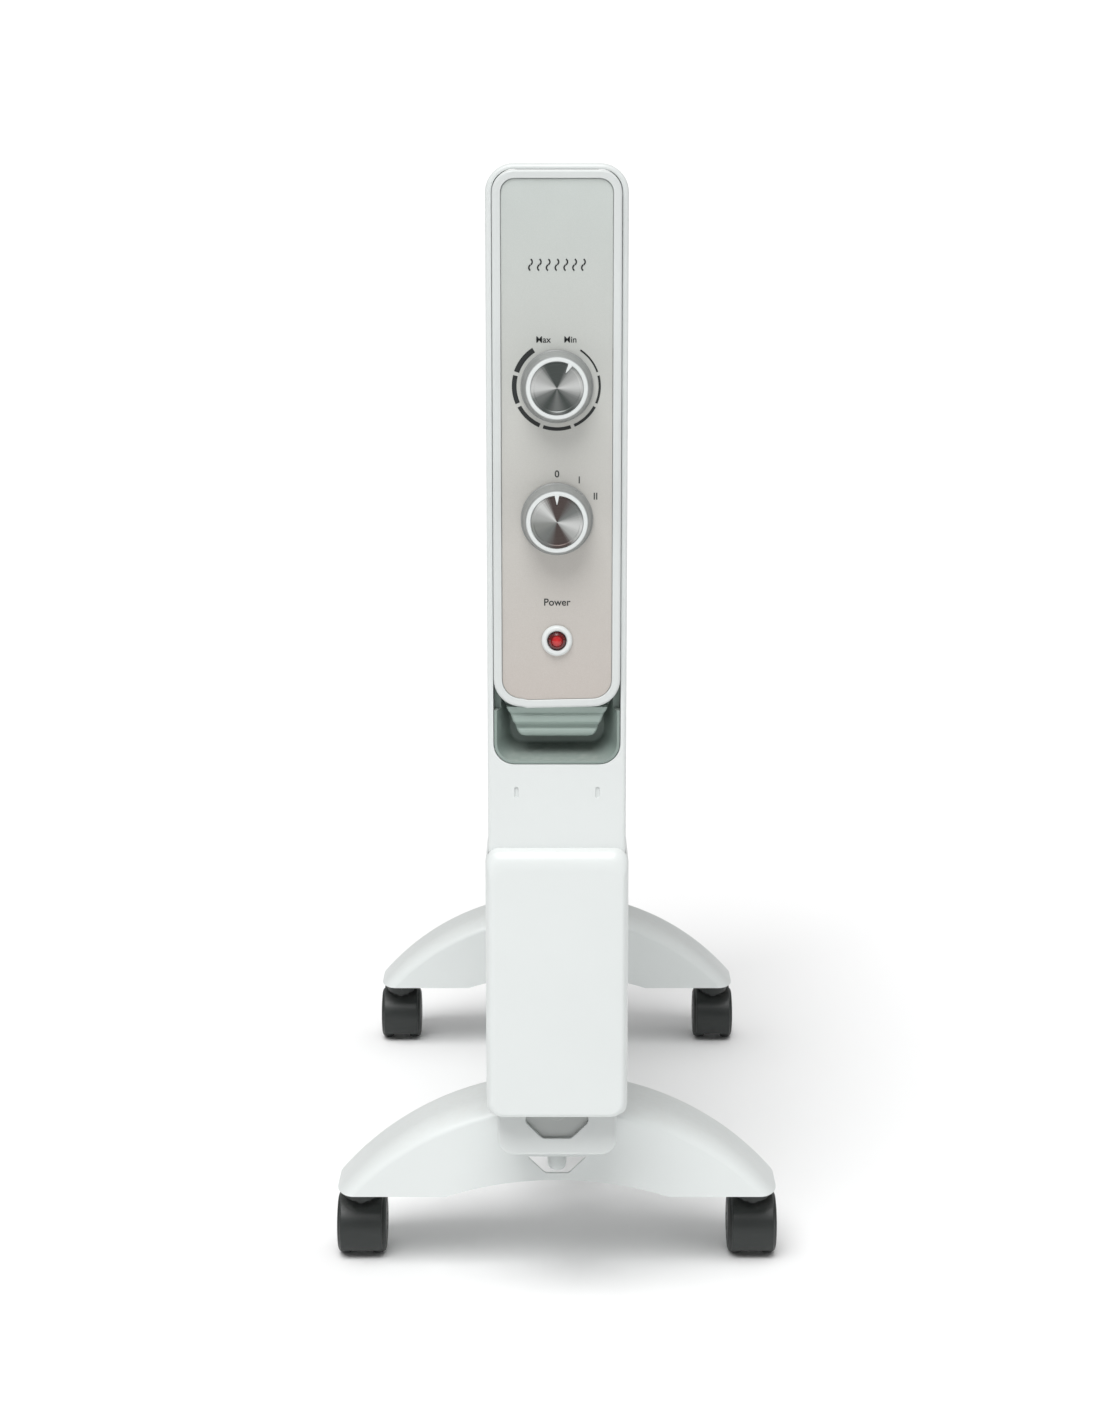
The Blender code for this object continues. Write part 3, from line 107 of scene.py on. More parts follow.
class HeaterSizes(bpy.types.PropertyGroup):
    """Sizes of the details that a user would change"""

    housing_corner: length("Housing Corner", "Radius of the housing's two top corners", 15 * MM)
    housing_edge: length("Housing Edge", "Rounding of the housing's front rim", 2.4 * MM)
    housing_wall: length("Housing Wall", "Wall thickness of the housings", 2.4 * MM)
    cover_shoulder: length("Cover Shoulder", "Height of the cord cover's rounded top end", 12 * MM)
    cover_side_edge: length("Cover Side Edge", "Rounding along the cord cover's sides", 4 * MM)
    panel_bow: length("Panel Bow", "How far the panel's lower edge is bowed down", 2.5 * MM)
    panel_border: length("Panel Border", "Width of the white frame around the fascia", 4.5 * MM)
    print_height: length("Print Height", "How far printed marks stand on the fascia", 0.12 * MM)
    dial_radius: length("Dial Radius", "Outer radius of the thermostat's dial marks", 23.8 * MM)
    knob_taper: length("Knob Taper", "Knob's base radius less its face radius", 2.2 * MM)
    knob_cap: length("Knob Cap", "Radius of the spun metal cap in each knob", 13.7 * MM)
    seam_width: length("Fin Seam Width", "Width of the welded rim around each fin", 10 * MM)
    groove_depth: length("Fin Groove Depth", "Depth of the valleys between a fin's oil channels", 2.2 * MM)
    foot_rim_high: length("Foot Rim Height", "Rounding of the feet, seen from the front", 8 * MM)
    foot_rim_deep: length("Foot Rim Depth", "Rounding of the feet, seen from the side", 20 * MM)
    foot_wall: length("Foot Wall", "Wall thickness of the moulded feet", 2.2 * MM)
    wheel_rounding: length("Wheel Rounding", "Rounding of the castor wheels' treads", 1.4 * MM)


class HeaterColours(bpy.types.PropertyGroup):
    """Colours of the finishes"""

    shell: colour("Shell", "White moulded housing", 219, 223, 222)
    shell_shade: colour("Shell Shade", "Faint second tone of the white housing", 215, 219, 218)
    enamel: colour("Enamel", "Enamel of the fins", 234, 237, 236)
    # The fascia's top and bottom colours are a painted reflection: a cool tone above and a warm tone below.
    fascia_top_painted_reflection: colour("Fascia Top", "Silver lacquer at the top of the panel", 205, 212, 208)
    fascia_bottom_painted_reflection: colour("Fascia Bottom", "Silver lacquer at the bottom of the panel", 190, 182, 175)
    recess: colour("Handle Recess", "Grey moulding of the handle recess", 142, 156, 150)
    ink: colour("Ink", "Printed marks", 34, 37, 37)
    lens: colour("Pilot Lens", "Red lens of the pilot light", 176, 18, 22)
    castor: colour("Castors", "Black plastic of the castors", 44, 48, 47)
    floor: colour("Floor", "Floor that the heater stands on", 250, 250, 250)


# ---------------------------------------------------------------- modelling by hand, in code
def alone(piece=None):
    """Leaves edit mode and selects one object only, or nothing."""
    if bpy.context.mode != "OBJECT":
        bpy.ops.object.mode_set(mode="OBJECT")
    bpy.ops.object.select_all(action="DESELECT")
    bpy.context.view_layer.objects.active = piece
    if piece is not None:
        piece.select_set(True)


@contextlib.contextmanager
def editing(piece):
    """Edit mode on one piece, with nothing selected in it."""
    alone(piece)
    bpy.ops.object.mode_set(mode="EDIT")
    bpy.ops.mesh.select_all(action="DESELECT")
    yield
    bpy.ops.object.mode_set(mode="OBJECT")


def pick(piece, kind, test):
    """Selects the vertices, edges or faces that pass a test, and says how many did."""
    bpy.ops.mesh.select_mode(type=kind)
    bpy.ops.mesh.select_all(action="DESELECT")
    shape = bmesh.from_edit_mesh(piece.data)
    found = [item for item in {"VERT": shape.verts, "EDGE": shape.edges, "FACE": shape.faces}[kind] if test(item)]
    for item in found:
        item.select_set(True)
    shape.select_flush_mode()
    bmesh.update_edit_mesh(piece.data)
    return len(found)


def ends(edge):
    return edge.verts[0].co, edge.verts[1].co


def runs_along(edge, axis):
    """Whether an edge is parallel to axis 0, 1 or 2."""
    one, two = ends(edge)
    return all(abs(one[k] - two[k]) < 0.01 * MM for k in range(3) if k != axis)


def lies_at(edge, axis, place):
    """Whether both ends of an edge have one coordinate."""
    return all(abs(end[axis] - place) < 0.02 * MM for end in ends(edge))


def sharp(edge, degrees=25):
    return len(edge.link_faces) == 2 and edge.calc_face_angle(0) > math.radians(degrees)


def new_piece(name):
    """Names the object that was just added and puts its place into its mesh."""
    piece = bpy.context.active_object
    piece.name = name
    piece.data.name = name
    bpy.ops.object.transform_apply(location=True, rotation=True, scale=True)
    return piece


def block(name, low, high):
    """A box between two corners, to be shaped further."""
    alone()
    low, high = Vector(low), Vector(high)
    bpy.ops.mesh.primitive_cube_add(size=1, location=(low + high) / 2, scale=high - low)
    return new_piece(name)


def disc(name, centre, axis, radius, sides, fill="NGON"):
    """A flat disc or ring of edges that faces along an axis."""
    alone()
    turn = Vector(axis).to_track_quat("Z", "Y").to_euler()
    bpy.ops.mesh.primitive_circle_add(vertices=sides, radius=radius, fill_type=fill, location=centre, rotation=turn)
    return new_piece(name)


def bar(name, start, axis, radius, length, sides):
    """A round bar or cutter that runs from a place along an axis."""
    piece = disc(name, start, axis, radius, sides)
    with editing(piece):
        bpy.ops.mesh.select_all(action="SELECT")
        bpy.ops.mesh.extrude_region_move(TRANSFORM_OT_translate={"value": Vector(axis) * length})
    tidy_mesh(piece)
    return piece


def tidy_mesh(piece):
    """Merges doubles and turns all faces outwards."""
    with editing(piece):
        bpy.ops.mesh.select_all(action="SELECT")
        bpy.ops.mesh.remove_doubles(threshold=0.002 * MM)
        bpy.ops.mesh.normals_make_consistent(inside=False)


def turned(name, centre, axis, profile, sides=64, hollow=False):
    """A turned body: profile is (radius, height along the axis) in millimetres, from end to end.

    The first ring is closed by a flat disc; a hollow profile comes back to its first ring instead.
    """
    axis = Vector(axis).normalized()
    centre = Vector(centre)
    radius, height = profile[0]
    piece = disc(name, centre + axis * height * MM, axis, radius * MM, sides, "NOTHING" if hollow else "NGON")
    with editing(piece):
        bpy.ops.mesh.select_all(action="SELECT")
        for next_radius, next_height in profile[1:]:
            step = axis * (next_height - height) * MM
            bpy.ops.mesh.extrude_region_move(TRANSFORM_OT_translate={"value": step})
            grow = next_radius / radius
            bpy.ops.transform.resize(value=(grow, grow, grow), center_override=centre + axis * next_height * MM)
            radius, height = next_radius, next_height
    tidy_mesh(piece)
    return piece


def round_edges(piece, test, radius, segments=4):
    """Bevels the edges that pass a test."""
    with editing(piece):
        if pick(piece, "EDGE", test):
            bpy.ops.mesh.bevel(offset=radius, segments=segments, affect="EDGES", clamp_overlap=True)


def combine(piece, tool, operation):
    """Applies a Boolean with a tool, and removes the tool."""
    alone(piece)
    modifier = piece.modifiers.new(tool.name, "BOOLEAN")
    modifier.operation = operation
    modifier.solver = "EXACT"
    modifier.object = tool
    bpy.ops.object.modifier_apply(modifier=modifier.name)
    bpy.data.objects.remove(tool)


def cut(piece, *tools):
    for tool in tools:
        combine(piece, tool, "DIFFERENCE")


def join(piece, *tools):
    for tool in tools:
        combine(piece, tool, "UNION")


def shifted_copy(piece, name, shift):
    """A copy with its own mesh, moved in its mesh."""
    alone(piece)
    bpy.ops.object.duplicate()
    copy = bpy.context.active_object
    copy.name = name
    copy.data.name = name
    with editing(copy):
        bpy.ops.mesh.select_all(action="SELECT")
        bpy.ops.transform.translate(value=shift)
    return copy


def dress(piece, finish, body=ROOT, replaces=(), smooth=30, weighted=True):
    """Gives a modelled piece its shading and material, puts it on its body and hides the CAD nodes that it replaces.
    """
    tidy_mesh(piece)
    alone(piece)
    bpy.ops.object.shade_smooth_by_angle(angle=math.radians(smooth))
    if weighted:
        modifier = piece.modifiers.new("even_shading", "WEIGHTED_NORMAL")
        modifier.keep_sharp = True
        bpy.ops.object.modifier_apply(modifier=modifier.name)
    piece.data.materials.clear()
    piece.data.materials.append(bpy.data.materials[finish])
    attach(piece, body)
    if replaces:
        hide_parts(*replaces)
    return piece


def rounded_block(name, half, depth, z, low_corner, high_corner, segments=10):
    """An upright slab, symmetrical about X, with round corners seen from the front."""
    piece = block(name, (-half, depth[0], z[0]), (half, depth[1], z[1]))
    for place, radius in ((z[0], low_corner), (z[1], high_corner)):
        if radius:
            round_edges(
                piece, lambda edge, at=place: runs_along(edge, 1) and lies_at(edge, 2, at), radius, segments,
            )
    return piece


def bow_edge(piece, z, half, bow, columns=12):
    """Bows the flat part of a slab's lower edge downwards."""
    for column in range(columns + 1):
        x = half * (2 * column / columns - 1) * 0.9999
        with editing(piece):
            bpy.ops.mesh.select_all(action="SELECT")
            bpy.ops.mesh.bisect(plane_co=(x, 0, 0), plane_no=(1, 0, 0))
            pick(piece, "VERT", lambda vert, at=x: abs(vert.co.x - at) < 0.01 * MM and abs(vert.co.z - z) < 0.01 * MM)
            bpy.ops.transform.translate(value=(0, 0, -bow * (1 - (x / half) ** 2)))


def front_rim(y, above=-1.0):
    """A test for the sharp edges around a front face, above a height."""
    return lambda edge: lies_at(edge, 1, y) and sharp(edge) and min(end.z for end in ends(edge)) > above


# ---------------------------------------------------------------- housings
def make_housing(sizes):
    """Upper shell with the opening for the panel and the handle."""
    low, high = HOUSING_LOW, HOUSING_HIGH
    corner, wall = sizes.housing_corner, sizes.housing_wall
    tray_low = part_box("handle_recess")[0]
    panel_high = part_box("panel_bezel")[1]
    shell = rounded_block("housing_shell", high.x, (low.y, high.y), (low.z, high.z), 0, corner, 12)
    round_edges(shell, front_rim(low.y, low.z - 1 * MM), sizes.housing_edge, 5)
    inner = rounded_block(
        "housing_inside", high.x - wall, (low.y + wall, high.y + OVERSHOOT),
        (low.z + wall, high.z - wall), 0, corner - wall, 12,
    )
    half = panel_high.x + PLAY
    opening = rounded_block(
        "housing_opening", half, (low.y - OVERSHOOT, low.y + wall + 1 * MM),
        (tray_low.z - PLAY, panel_high.z + PLAY), 11.5 * MM, corner - (high.x - half), 10,
    )
    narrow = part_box("lower_housing")[1].x - 2 * MM
    passage = block("housing_passage", (-narrow, behind(16), low.z - OVERSHOOT),
                    (narrow, behind(63), low.z + wall + MM))
    cut(shell, inner, opening, passage)
    for side in (-1, 1):
        x, z = side * 22 * MM, tray_low.z - 15.8 * MM
        slot = block("housing_slot", (x - MM, low.y - OVERSHOOT, z - 3 * MM), (x + MM, low.y + 1.0 * MM, z + 3 * MM))
        round_edges(slot, lambda edge: runs_along(edge, 1), 0.9 * MM, 3)
        cut(shell, slot)
    round_edges(shell, lambda edge: lies_at(edge, 1, low.y) and sharp(edge, 60) and edge.verts[0].co.z > low.z + MM,
                0.35 * MM, 2)
    dress(shell, "white_moulding", replaces=["control_housing"])


def make_lower_housing(sizes):
    """Narrow box under the upper shell, with the slanted outlet for the lead."""
    low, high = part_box("lower_housing")
    wall = sizes.housing_wall * 0.85
    shell = rounded_block("lower_housing_shell", high.x, (low.y, high.y), (low.z, high.z), 9 * MM, 0, 10)
    round_edges(shell, front_rim(low.y, low.z - 1 * MM), 2 * MM, 4)
    inner = rounded_block(
        "lower_inside", high.x - wall, (low.y + wall, high.y + OVERSHOOT), (low.z + wall, high.z + OVERSHOOT),
        9 * MM - wall, 0, 10,
    )
    outlet = outlet_prism("lower_outlet", low.z, low.y - OVERSHOOT, low.y + wall + MM)
    cut(shell, inner, outlet)
    round_edges(
        shell, lambda edge: lies_at(edge, 1, low.y) and sharp(edge, 60), 0.6 * MM, 3,
    )
    dress(shell, "white_moulding", replaces=["lower_housing"])


def outlet_prism(name, base, near, far):
    """The outline of the cord outlet as a solid: a slot that narrows downwards."""
    piece = block(name, (-17.5 * MM, near, base + 10 * MM), (17.5 * MM, far, base + 31.5 * MM))
    with editing(piece):
        bpy.ops.mesh.select_all(action="SELECT")
        bpy.ops.mesh.bisect(plane_co=(0, 0, base + 19.5 * MM), plane_no=(0, 0, 1))
        pick(piece, "VERT", lambda vert: vert.co.z < base + 12 * MM)
        bpy.ops.transform.resize(value=(8 / 17.5, 1, 1), center_override=(0, 0, 0))
    round_edges(piece, lambda edge: runs_along(edge, 1), 1.2 * MM, 4)
    return piece


def make_gland():
    """Block behind the outlet, painted grey as the shade in the recess, with the sleeve that the lead leaves by."""
    low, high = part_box("cord_gland")
    face = behind(16.3)
    piece = block("cord_gland_block", (low.x, face, low.z), (high.x, face + 3 * MM, high.z))
    centre = (0, face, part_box("lower_housing")[0].z + 25.6 * MM)
    sleeve = turned(
        "gland_sleeve", centre, FACING,
        [(5.6, -14), (5.6, 0.3), (5.2, 0.8), (4.2, 0.8)], 48,
    )
    join(piece, sleeve)
    cut(piece, bar("gland_hole", (0, behind(0), centre[2]), (0, 1, 0), 3.6 * MM, 60 * MM, 32))
    dress(piece, "gland_moulding", replaces=["cord_gland"])


def cover_body(name, sizes, wall):
    """The cord cover's form: a slab whose front edge is rounded, most of all at its top end."""
    low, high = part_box("cord_cover")
    corner = 8 * MM - wall
    bottom = low.z if wall == 0 else low.z - OVERSHOOT
    start, front = behind(1), low.y + wall
    back = high.y if wall == 0 else high.y + OVERSHOOT
    half, top = high.x - wall, high.z - wall
    piece = rounded_block(name, half, (start, back), (bottom, top), corner, corner, 8)
    steps = 9
    side, shoulder = sizes.cover_side_edge, sizes.cover_shoulder
    foot = side if wall == 0 else 0
    tall = top - bottom
    pivot = bottom + foot / (foot + shoulder) * tall
    width = height = 1.0
    y = start
    with editing(piece):
        pick(piece, "FACE", lambda face: face.normal.y < -0.9 and abs(face.calc_center_median().y - start) < 0.1 * MM)
        for step in range(1, steps + 1):
            angle = math.radians(90 * (1 - step / steps))
            share = 1 - math.sin(angle)
            next_y = front + (start - front) * (1 - math.cos(angle))
            bpy.ops.mesh.extrude_region_move(TRANSFORM_OT_translate={"value": (0, next_y - y, 0)})
            new_width, new_height = 1 - share * side / half, 1 - share * (foot + shoulder) / tall
            bpy.ops.transform.resize(
                value=(new_width / width, 1, new_height / height), center_override=(0, next_y, pivot),
            )
            width, height, y = new_width, new_height, next_y
    tidy_mesh(piece)
    return piece


def make_cord_cover(sizes):
    """Shell over the lower housing, open below."""
    low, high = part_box("cord_cover")
    cover = cover_body("cord_cover_shell", sizes, 0)
    inside = cover_body("cover_inside", sizes, 1.3 * MM)
    clear = HOUSING_HIGH.x + 0.3 * MM
    housing_room = block(
        "cover_housing_room", (-clear, behind(-0.04), low.z - OVERSHOOT),
        (clear, high.y + OVERSHOOT, high.z + OVERSHOOT),
    )
    cut(cover, inside, housing_room)
    dress(cover, "white_moulding", replaces=["cord_cover"], smooth=35)


# ---------------------------------------------------------------- control panel
def panel_slab(name, half, depth, z, low_corner, high_corner, bow):
    """A slab with the panel's outline: round corners and a lower edge bowed down."""
    piece = rounded_block(name, half, depth, (z[0] + bow, z[1]), low_corner, high_corner, 10)
    bow_edge(piece, z[0] + bow, half - low_corner, bow)
    return piece


def control_bores(near, far):
    """Cutters for the two bushes and the pilot light."""
    places = (("thermostat_knob", 5.3), ("selector_knob", 5.3), ("pilot_bezel", 6.6))
    return [
        bar("bore", (0, near, middle_of(node).z), (0, 1, 0), radius * MM, far - near, 48)
        for node, radius in places
    ]


def make_panel_frame(sizes):
    """White frame around the fascia."""
    low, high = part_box("panel_bezel")
    bow = sizes.panel_bow
    bottom = high.z - PANEL_HEIGHT
    rounding = 1.5 * MM
    front = low.y
    piece = panel_slab("panel_frame", high.x, (front, behind(8)), (bottom, high.z), 15 * MM, 11.8 * MM, bow)
    round_edges(piece, front_rim(front), rounding, 5)
    with editing(piece):
        pick(piece, "FACE", lambda face: face.normal.y < -0.99 and face.calc_center_median().y < front + 0.1 * MM)
        bpy.ops.mesh.inset(thickness=sizes.panel_border - rounding)
        bpy.ops.mesh.extrude_region_move(TRANSFORM_OT_translate={"value": (0, 2.5 * MM, 0)})
        pick(piece, "FACE", lambda face: face.normal.y > 0.99 and face.calc_center_median().y > behind(7.9))
        bpy.ops.mesh.inset(thickness=2.2 * MM)
        bpy.ops.mesh.extrude_region_move(TRANSFORM_OT_translate={"value": (0, -7.5 * MM, 0)})
    cut(piece, *control_bores(front - OVERSHOOT, behind(13)))
    round_edges(
        piece, lambda edge: lies_at(edge, 1, front) and sharp(edge, 60), 0.45 * MM, 3,
    )
    dress(piece, "frame_moulding", replaces=["panel_bezel"])


def stack(name, top, sections, rounding):
    """A block drawn downwards through sections of (drop, half width, front, back), in millimetres."""
    drop, wide, near, far = sections[0]
    z = top - sections[1][0] * MM
    piece = block(name, (-wide * MM, behind(near), z), (wide * MM, behind(far), top - drop * MM))
    round_edges(
        piece, lambda edge: runs_along(edge, 2) and edge.verts[0].co.y < behind((near + far) / 2), rounding, 4,
    )
    before = (wide, near, far)
    with editing(piece):
        pick(piece, "FACE", lambda face: face.normal.z < -0.9)
        for index, (drop, wide, near, far) in enumerate(sections[1:]):
            next_z = top - drop * MM
            if index:
                bpy.ops.mesh.extrude_region_move(TRANSFORM_OT_translate={"value": (0, 0, next_z - z)})
            stretch = (far - near) / (before[2] - before[1])
            bpy.ops.transform.resize(
                value=(wide / before[0], stretch, 1), center_override=(0, behind(before[1]), next_z),
            )
            bpy.ops.transform.translate(value=(0, behind(near) - behind(before[1]), 0))
            before, z = (wide, near, far), next_z
    return piece


def make_grip():
    """Ribbed grip under the panel, which the fingers hold the heater by, and the cheeks beside it."""
    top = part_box("panel_bezel")[1].z - PANEL_HEIGHT + 11 * MM
    cheeks = stack("grip_cheeks", top, (
        (0.0, 33.4, 8.4, 11.0), (2.0, 32.6, 8.4, 11.0), (8.0, 28.6, 8.4, 11.4), (14.0, 25.2, 9.0, 11.8),
        (18.0, 23.6, 10.0, 12.0),
    ), 0.6 * MM)
    dress(cheeks, "cheek_moulding", smooth=40)
    grip = stack("panel_grip", top, (
        (9.4, 27.4, 0.8, 8.2), (11.6, 26.6, 1.2, 8.8), (13.2, 25.4, 2.2, 9.4), (14.4, 24.9, 1.2, 9.6),
        (15.4, 24.5, 0.6, 9.8), (17.4, 23.9, 0.8, 10.0), (18.4, 23.3, 2.0, 10.2), (19.6, 22.6, 4.6, 10.4),
        (21.0, 22.2, 4.4, 10.6), (22.0, 21.8, 3.2, 10.8), (23.0, 21.4, 3.0, 11.0), (24.4, 20.6, 3.4, 11.2),
        (25.6, 19.4, 4.8, 11.4), (26.4, 17.6, 7.0, 11.6),
    ), 1.8 * MM)
    dress(grip, "grip_moulding", smooth=40)


def make_fascia(sizes):
    """Silver plate that carries the controls."""
    low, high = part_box("fascia_plate")
    bow = sizes.panel_bow
    plate = panel_slab(
        "fascia_sheet", high.x - 0.7 * MM, (low.y, high.y), (low.z + 1.3 * MM, high.z - 0.7 * MM),
        10.3 * MM, 7.1 * MM, bow,
    )
    cut(plate, *control_bores(low.y - OVERSHOOT, high.y + OVERSHOOT))
    round_edges(plate, front_rim(low.y), 0.25 * MM, 2)
    dress(plate, "silver_lacquer", replaces=["fascia_plate"])


def make_tray():
    """Grey tray behind and under the grip, with soft inner corners."""
    low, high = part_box("handle_recess")
    wall = 1.6 * MM
    piece = rounded_block("handle_tray", high.x, (low.y, high.y), (low.z, high.z), 11.2 * MM, 3 * MM, 10)
    with editing(piece):
        pick(piece, "FACE", lambda face: face.normal.y < -0.99)
        bpy.ops.mesh.inset(thickness=wall)
        bpy.ops.mesh.extrude_region_move(TRANSFORM_OT_translate={"value": (0, high.y - low.y - wall, 0)})
        bpy.ops.transform.resize(value=(0.8, 1, 0.84), center_override=(0, 0, (low.z + high.z) / 2 + 10 * MM))
    floor_y = high.y - wall
    round_edges(piece, lambda edge: lies_at(edge, 1, floor_y) and sharp(edge, 40), 5 * MM, 6)
    round_edges(piece, lambda edge: lies_at(edge, 1, low.y) and sharp(edge, 60), 0.4 * MM, 2)
    panel_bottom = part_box("panel_bezel")[1].z - PANEL_HEIGHT
    room = block(
        "tray_panel_room", (-2 * high.x, behind(-5), panel_bottom - 0.3 * MM),
        (2 * high.x, behind(8.3), high.z + OVERSHOOT),
    )
    cut(piece, room)
    dress(piece, "grey_moulding", replaces=["handle_recess"])


def arc_band(name, centre, inner, outer, start, end, near, far):
    """A flat printed arc about the Y axis: angles are clockwise from the top, in degrees."""
    piece = block(name, (centre.x, near, centre.z + inner), (centre.x + 0.01 * MM, far, centre.z + outer))
    with editing(piece):
        pick(piece, "FACE", lambda face: face.normal.x > 0.9)
        bpy.ops.mesh.select_all(action="INVERT")
        bpy.ops.mesh.delete(type="ONLY_FACE")
        bpy.ops.mesh.select_all(action="DESELECT")
        pick(piece, "VERT", lambda vert: vert.co.x < centre.x + 0.005 * MM)
        bpy.ops.mesh.delete(type="VERT")
        bpy.ops.mesh.select_all(action="SELECT")
        spread = math.radians(end - start)
        bpy.ops.mesh.spin(
            steps=max(2, int(abs(end - start) / 3)), angle=-spread, center=centre, axis=(0, 1, 0),
        )
    turn_in_mesh(piece, centre, math.radians(start))
    tidy_mesh(piece)
    return piece


def turn_in_mesh(piece, centre, angle):
    """Turns a piece clockwise, seen from the front, about a line along Y."""
    place = Matrix.Translation(centre)
    piece.data.transform(place @ Matrix.Rotation(angle, 4, "Y") @ place.inverted())


def lettering(name, words, height, x, z, y, thickness):
    """Short generic words or numbers, printed on the fascia."""
    alone()
    bpy.ops.object.text_add(location=(x, y, z), rotation=(math.radians(90), 0, 0))
    text = bpy.context.active_object
    text.data.body = words
    text.data.size = height
    text.data.align_x = "CENTER"
    text.data.align_y = "CENTER"
    text.data.extrude = thickness / 2
    text.data.offset = 0.012 * height
    bpy.ops.object.convert(target="MESH")
    return new_piece(name)


def make_prints(sizes):
    """Dial arcs, switch positions and plain words, printed on the fascia."""
    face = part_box("fascia_plate")[0].y
    near, far = face - sizes.print_height, face + 0.05 * MM
    dial = middle_of("thermostat_knob")
    count, first, total, gap = 7, 33.0, 294.0, 5.0
    span = (total - gap * (count - 1)) / count
    arcs = []
    for index in range(count):
        start = first + index * (span + gap)
        width = (0.9 + 1.9 * index / (count - 1)) * MM
        middle = sizes.dial_radius - 1.3 * MM
        arcs.append(arc_band(
            f"dial_arc_{index}", dial, middle - width / 2, middle + width / 2, start, start + span, near, far,
        ))
    for arc in arcs[1:]:
        join_meshes(arcs[0], arc)
    arcs[0].name = "dial_arcs"
    dress(arcs[0], "printed_ink", weighted=False)
    switch = middle_of("selector_knob")
    words_z = dial.z + 24.2 * MM
    marks = [("dial_word_max", "Max", 4.6, -7.2, words_z), ("dial_word_min", "Min", 4.6, 7.0, words_z)]
    for index, words in enumerate(("0", "I", "II")):
        angle = math.radians(30 * index)
        reach = 23.6
        marks.append((
            f"switch_mark_{index}", words, 5.2, reach * math.sin(angle), switch.z + reach * math.cos(angle) * MM,
        ))
    pilot = middle_of("pilot_bezel")
    marks.append(("pilot_word", "Power", 5.4, 0, pilot.z + 20.5 * MM))
    for name, words, height, x, z in marks:
        text = lettering(name, words, height * MM, x * MM, z, (near + far) / 2, far - near)
        dress(text, "printed_ink", weighted=False)
    make_heat_mark(near, far, HOUSING_HIGH.z - 52 * MM)


def join_meshes(piece, other):
    """Joins separate shells into one object."""
    alone(piece)
    other.select_set(True)
    bpy.ops.object.join()


def make_heat_mark(near, far, z):
    """A row of rising waves: a plain sign for heat."""
    parts = []
    for column in range(-3, 4):
        x = column * 4.6 * MM
        for side in (-1, 1):
            centre = Vector((x - side * 0.75 * MM, 0, z + side * 1.5 * MM))
            start = 30 if side > 0 else 210
            parts.append(arc_band("heat_wave", centre, 1.25 * MM, 2.05 * MM, start, start + 120, near, far))
    for part in parts[1:]:
        join_meshes(parts[0], part)
    parts[0].name = "heat_mark"
    dress(parts[0], "printed_ink", weighted=False)


# ---------------------------------------------------------------- controls
def wedge(name, tip, base_half, height, near, far):
    """A flat triangle that points down at its tip, between two depths."""
    piece = block(name, (tip.x - base_half, near, tip.z), (tip.x + base_half, far, tip.z + height))
    with editing(piece):
        pick(piece, "VERT", lambda vert: vert.co.z < tip.z + 0.01 * MM)
        bpy.ops.transform.resize(value=(0.12, 1, 1), center_override=tip)
    return piece


def make_knob(sizes, control, pointer_angle):
    """White knob with a spun metal cap and a white pointer let into it."""
    low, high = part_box(control + "_knob")
    centre = Vector((0, high.y, (low.z + high.z) / 2))
    base = high.x / MM
    face = base - sizes.knob_taper / MM
    tall = (high.y - low.y) / MM
    cap = sizes.knob_cap / MM
    floor = tall - 1.1
    body = turned(control + "_grip", centre, FACING, [
        (cap + 0.3, floor), (cap + 0.3, tall), (face - 1.6, tall + 0.05), (face - 0.7, tall - 0.25),
        (face - 0.15, tall - 0.9), (face, tall - 1.6), (base - 1.1, 4.2), (base - 0.5, 2.2), (base, 1.8), (base, 0.6),
        (base - 0.4, 0.2), (base - 2.2, 0.2), (face - 2.2, tall - 3.7), (5.2, tall - 3.7), (5.2, 2.1),
        (3.15, 2.1), (3.15, tall - 2.6),
    ], 96)
    pointer = wedge("pointer", Vector((0, 0, centre.z + (cap - 4.3) * MM)), 1.35 * MM, 5.2 * MM,
                    low.y - 0.25 * MM, centre.y - (floor - 0.4) * MM)
    turn_in_mesh(pointer, centre, pointer_angle)
    join(body, pointer)
    plate = turned(control + "_cap", centre, FACING, [
        (cap, floor + 0.3), (cap, tall + 0.15), (cap - 0.15, tall + 0.35), (cap - 0.45, tall + 0.45),
        (cap - 1.3, tall + 0.45), (cap - 1.7, tall + 0.2), (2.4, tall + 0.05), (1.2, tall + 0.12),
    ], 96)
    notch = wedge("notch", Vector((0, 0, centre.z + (cap - 4.7) * MM)), 1.6 * MM, 6.4 * MM,
                  low.y - 3 * MM, centre.y - (floor - 2) * MM)
    turn_in_mesh(notch, centre, pointer_angle)
    cut(plate, notch)
    body_name = control + "_control"
    dress(body, control + "_knob_moulding", body_name, [control + "_knob"])
    dress(plate, control + "_spun_cap", body_name, [control + "_knob_cap"])


def make_pilot():
    """White ring and faceted red lens."""
    low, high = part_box("pilot_bezel")
    centre = Vector((0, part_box("fascia_plate")[0].y - 0.3 * MM, (low.z + high.z) / 2))
    ring = turned("pilot_ring", centre, FACING, [
        (5.1, -6), (6.0, -6), (6.0, 0), (8.3, 0), (8.3, 0.8), (8.05, 1.5), (7.4, 2.2), (6.8, 2.4), (6.0, 2.3),
        (5.4, 1.9), (5.1, 1.2), (5.1, -6),
    ], 64, hollow=True)
    dress(ring, "pilot_knob_moulding", replaces=["pilot_bezel"], smooth=40)
    lens = turned("pilot_jewel", centre, FACING, [
        (4.8, -5.9), (4.8, 1.5), (4.4, 2.5), (3.3, 3.0), (3.1, 2.7), (2.0, 3.9), (0.5, 4.4),
    ], 16)
    dress(lens, "red_jewel", replaces=["pilot_lens"], smooth=12, weighted=False)


